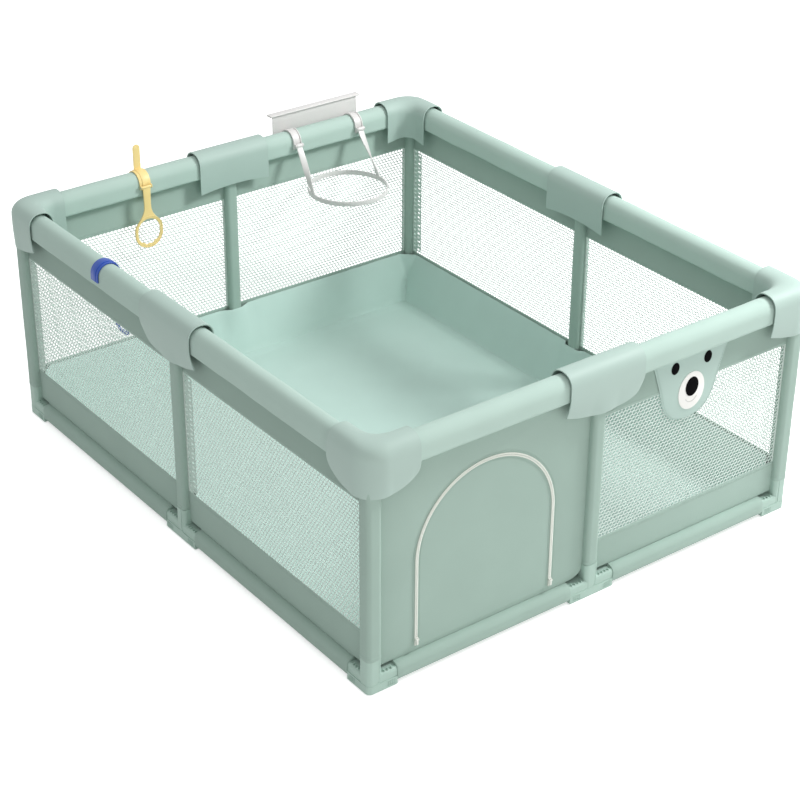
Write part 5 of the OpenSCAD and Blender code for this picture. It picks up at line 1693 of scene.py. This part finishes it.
@dataclass
class Hoop:
    """The toy basketball hoop: two hooks on the rail, a curved backboard and a flat ring on two arms."""

    middle: float = 0.358
    span: float = 0.24
    hook_w: float = 0.03
    hook_rim: Pair = (0.004, 0.0025)
    radius: float = 0.129
    band_h: float = 0.016
    band_t: float = 0.004
    band_r: float = 0.0013
    out: float = 0.142
    drop: float = 0.15
    ear_t: float = 0.0035
    arm_r: float = 0.008
    board_w: float = 0.345
    board_in: float = 0.018
    board_t: float = 0.003
    board_bend: float = 0.009
    board_rise: float = 0.048
    rim_t: float = 0.006
    barrel_r: float = 0.0066
    barrel_w: float = 0.0216
    clip: RailClip = field(default_factory=lambda: RailClip(width=0.03, low_in=-0.016, low_out=-0.024))

    @property
    def pin(self) -> Pair:
        """Distance of the hoop's pins from the wall's plane, inwards, and their height."""
        return PLAN.rail_w / 2 + self.clip.seat + self.clip.wall_t + self.arm_r + 0.001, PLAN.pin_z

    def put(self, points: np.ndarray) -> np.ndarray:
        """Turns points drawn about the hoop's middle into the yard's axes."""
        return on_wall(Wall.BACK, points + (-self.middle, 0, 0))

    def piece(self, outlines: Loops, start: float, depth: float, edge: float, side: int,
              name: str, finish: Material) -> Object:
        """A plate across the rail at one hook, mirrored to the other one at side -1."""
        return plate(outlines, depth, edge, lambda p: self.put(
            along_x(p, self.span / 2 + start) * (side, 1, 1)), name, finish)

    def hooks(self, finishes: Finishes) -> None:
        """The two hooks with raised rims and hinge ears at their edges."""
        c, white, parts = self.clip, finishes["hoop"], []
        half, face, near, r = self.hook_w / 2, c.seat + c.wall_t, c.ear_near, c.ear_up
        (pin_in, z), (rim_w, rim_h) = self.pin, self.hook_rim
        ear = [(near, z - r), (pin_in, z - r)]
        ear += [(pin_in + r * sin(a), z - r * cos(a)) for a in np.linspace(0.2, pi - 0.2, 12)]
        ear += [(pin_in, z + r), (near, z + r)]
        low, high = ([p for p in c.over(offset, c.low_in, c.low_out) if p[0] > -0.004]
                     for offset in (face - 0.0004, face + rim_h))
        for side in (-1, 1):
            parts.append(self.piece([c.band(c.seat, face, c.low_in, c.low_out)], -half, self.hook_w, c.edge,
                                    side, f"hook_{side}", white))
            for x in (-half, half - rim_w):
                parts.append(self.piece([np.array(low + high[::-1])], x, rim_w, 0.0011, side,
                                        f"hook_rim_{side}{x:.3f}", white))
                parts.append(self.piece([np.array(ear), disc(c.pin_r + c.fit, self.pin)], x, self.ear_t,
                                        c.fine_edge, side, f"hook_ear_{side}{x:.3f}", white))
        finishes.ride(join("hoop_rail_hooks", parts), "hoop", "hoop_hooks")
        pins = [self.piece([disc(c.pin_r, self.pin, 28)], -half - 0.0008, self.hook_w + 0.0016, c.fine_edge,
                           side, f"hoop_pin_{side}", white) for side in (-1, 1)]
        finishes.ride(join("hoop_hinge_pins", pins), "hoop", "hoop_pins")

    def board(self, finishes: Finishes) -> None:
        """The backboard: a strip that curves back into a flat upper rim."""
        near = -(PLAN.rail_w / 2 + self.clip.seat + self.clip.wall_t + 0.0003)
        low, top = PLAN.rail_z - 0.02, PLAN.rail_top + self.board_rise - self.rim_t / 2
        t, bend = self.board_t, self.board_bend
        strip = [(near, low)]
        strip += [(near - bend * (1 - cos(a)), top - 0.024 * (1 - sin(a)))
                  for a in np.linspace(0, 1.45, 12)]
        strip += [(near - t - bend, top)]
        strip += [(near - t - bend * (1 - cos(a)), top - 0.0005 - bend * (1 - sin(a)))
                  for a in np.linspace(pi / 2, 0, 10)]
        strip += [(near - t, low)]
        w, h, r = 0.013, self.rim_t / 2, 0.0028
        rim = rounded([(-w, -h, r), (w, -h, r), (w, h, r), (-w, h, r)]) + (near - 0.007, top)
        parts = [plate([np.array(outline)], wide, self.clip.edge,
                       lambda p, w=wide: self.put(along_x(p, -w / 2)), name, finishes["hoop"])
                 for name, outline, wide in (("board_strip", strip, self.board_w - self.board_in),
                                             ("board_rim", rim, self.board_w))]
        finishes.ride(join("hoop_back_board", parts), "hoop", "hoop_backboard")

    def strap(self, side: int) -> Shape:
        """One arm: a strap that hangs wide from its barrel and turns on edge where it joins the ring."""
        (pin_in, pin_z), r, flat = self.pin, self.band_r, np.array((1.0, 0.0, 0.0))
        start = np.array((self.span / 2, pin_in, pin_z - 0.004))
        stop = np.array((self.radius - self.band_t / 2, self.out - 0.004, pin_z - self.drop + self.band_h / 2))
        way = (stop - start) / np.linalg.norm(stop - start)
        on_edge = np.cross(way, flat)
        on_edge /= np.linalg.norm(on_edge)
        rows = []
        for s in np.linspace(0, 1, 37):
            ease = s * s * (3 - 2 * s)
            wide = cos(pi / 2 * ease) * flat + sin(pi / 2 * ease) * on_edge
            deep = np.cross(way, wide)
            w, t = (self.barrel_w * (1 - s) + self.band_h * s) / 2, self.band_t / 2
            middle = start + (stop - start) * (ease, s, s)
            rows.append([middle + wide * a + deep * b
                         for a, b in rounded([(-w, -t, r), (w, -t, r), (w, t, r), (-w, t, r)], 4)])
        return Shape().grid(self.put(np.array(rows) * (side, 1, 1)), wrap=True, ends=True)

    def ring(self, finishes: Finishes) -> None:
        """The ring and its two arms."""
        low, high = PLAN.pin_z - self.drop, PLAN.pin_z - self.drop + self.band_h
        far, near, r = self.radius, self.radius - self.band_t, self.band_r
        loop = rounded([(far, low, r), (far, high, r), (near, high, r), (near, low, r)], 4)
        rows = [[(d * cos(a), self.out + d * sin(a), z) for d, z in loop]
                for a in np.linspace(0, 2 * pi, 145)]
        rows[-1] = rows[0]
        parts = [Shape().grid(self.put(np.array(rows)), wrap=True).build("hoop_band", finishes["hoop"])]
        barrel = [disc(self.barrel_r, self.pin), disc(self.clip.pin_r + self.clip.play, self.pin)]
        for side in (-1, 1):
            parts.append(self.strap(side).build(f"hoop_arm_{side}", finishes["hoop"]))
            parts.append(self.piece(barrel, -self.barrel_w / 2, self.barrel_w, self.clip.edge, side,
                                    f"hoop_barrel_{side}", finishes["hoop"]))
        finishes.ride(join("hoop_flat_ring", parts), "hoop", "hoop_ring", body="hoop")

    def make(self, finishes: Finishes) -> None:
        """Builds the hoop."""
        self.hooks(finishes)
        self.board(finishes)
        self.ring(finishes)


# -------- studio
@dataclass
class Studio:
    """The white room: floor, lights, world and camera."""

    stand: Triple = (-3.0689, -4.0968, 3.1004)
    view: Triple = (0.52425, 0.69406, -0.49339)
    roll: float = 0.34
    lens: float = 90.18
    ambient: float = 0.64

    def floor(self) -> None:
        """A white floor that keeps a faint shadow."""
        material = bpy.data.materials.new("white_studio_floor")
        material.use_nodes = True
        tree = material.node_tree
        tree.nodes.clear()
        paint = add_node(tree, "ShaderNodeBsdfDiffuse", {"Color": (0.92, 0.92, 0.92, 1)})
        glow = add_node(tree, "ShaderNodeEmission", {"Color": (1, 1, 1, 1), "Strength": 0.72})
        seen = add_node(tree, "ShaderNodeMath", {"operation": "MULTIPLY", 1: 0.75}, {0: self.clear_ray(tree)})
        lit = add_node(tree, "ShaderNodeAddShader", links={0: paint.outputs[0], 1: glow.outputs[0]})
        mix = add_node(tree, "ShaderNodeMixShader",
                       links={"Fac": seen.outputs[0], 1: paint.outputs[0], 2: lit.outputs[0]})
        add_node(tree, "ShaderNodeOutputMaterial", links={"Surface": mix.outputs[0]})
        mesh = bpy.data.meshes.new("studio_floor")
        mesh.from_pydata([(-9, -9, 0), (9, -9, 0), (9, 9, 0), (-9, 9, 0)], [], [(0, 1, 2, 3)])
        mesh.materials.append(material)
        add("studio_floor", mesh)

    @staticmethod
    def clear_ray(tree: NodeTree) -> NodeSocket:
        """1 for what the camera sees directly, in a gloss or through something clear, and 0 for other light."""
        path = add_node(tree, "ShaderNodeLightPath")
        most = add_node(tree, "ShaderNodeMath", {"operation": "MAXIMUM"},
                        {0: path.outputs["Is Camera Ray"], 1: path.outputs["Is Glossy Ray"]})
        return add_node(tree, "ShaderNodeMath", {"operation": "MAXIMUM"},
                        {0: most.outputs[0], 1: path.outputs["Is Transmission Ray"]}).outputs[0]

    @staticmethod
    def lamp(name: str, place: Triple, aim: Triple, size: float, power: float, colour: Triple) -> None:
        """A square soft light, its size in metres and its power in watts."""
        data = bpy.data.lights.new(name, "AREA")
        data.size, data.energy, data.color = size, power, colour
        lamp = add(name, data)
        lamp.location = place
        lamp.rotation_euler = (Vector(aim) - Vector(place)).to_track_quat("-Z", "Y").to_euler()

    def make(self) -> None:
        """Sets the studio up round the yard."""
        self.floor()
        self.lamp("key", (2.3, -1.5, 3.0), (0.0, 0.2, 0.3), 0.9, 116, (0.99, 0.99, 1.0))
        self.lamp("fill", (-1.1, -4.5, 1.9), (0.0, 0.0, 0.5), 2.8, 34, (1.0, 0.98, 0.94))
        self.lamp("top", (0.0, 0.4, 4.2), (0.0, 0.0, 0.0), 3.2, 24, (1.0, 1.0, 1.0))
        world = bpy.data.worlds.new("white_room")
        bpy.context.scene.world = world
        world.use_nodes = True
        tree = world.node_tree
        tree.nodes.clear()
        level = add_node(tree, "ShaderNodeMapRange", {"To Min": self.ambient, "To Max": 1.0},
                         {"Value": self.clear_ray(tree)})
        back = add_node(tree, "ShaderNodeBackground", {"Color": (1, 1, 1, 1)},
                        {"Strength": level.outputs["Result"]})
        add_node(tree, "ShaderNodeOutputWorld", links={"Surface": back.outputs[0]})
        data = bpy.data.cameras.new("camera")
        data.lens, data.sensor_width = self.lens, 36
        camera = add("camera", data)
        camera.location = self.stand
        aim = Vector(self.view).to_track_quat("-Z", "Y").to_matrix()
        camera.rotation_euler = (aim @ Matrix.Rotation(radians(self.roll), 3, "Z")).to_euler()
        bpy.context.scene.camera = camera
        bpy.context.scene.view_settings.view_transform = "Standard"


# -------- the yard
def main() -> None:
    """Builds every part of the yard and its studio."""
    logging.basicConfig(level=logging.INFO, format="%(name)s: %(message)s")
    finishes, rows, cloth = Finishes(), Rows(), WallCloth()
    PaddedRails().make(finishes)
    SillRails().make(finishes)
    PostSleeves().make(finishes)
    RailCovers().make(finishes)
    cloth.make(finishes, rows)
    NetPanels().make(finishes, rows)
    FloorMat().make(finishes)
    Doorway().make(finishes, rows, cloth)
    BearApron().make(finishes, rows)
    pins = [PullRing("yellow", Wall.BACK, 0.318, "yellow_pull_ring", thumb=True).make(finishes),
            PullRing("blue", Wall.LEFT, -0.372, "blue_pull_ring", thumb=False).make(finishes)]
    finishes.ride(join("pull_ring_steel_pins", pins), "tube", "pull_ring_pins")
    Hoop().make(finishes)
    finishes.dress("connector", "corner_connectors", "mid_connectors")
    finishes.dress("rubber", "rubber_feet")
    Studio().make()


if __name__ == "__main__":
    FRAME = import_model()
    main()
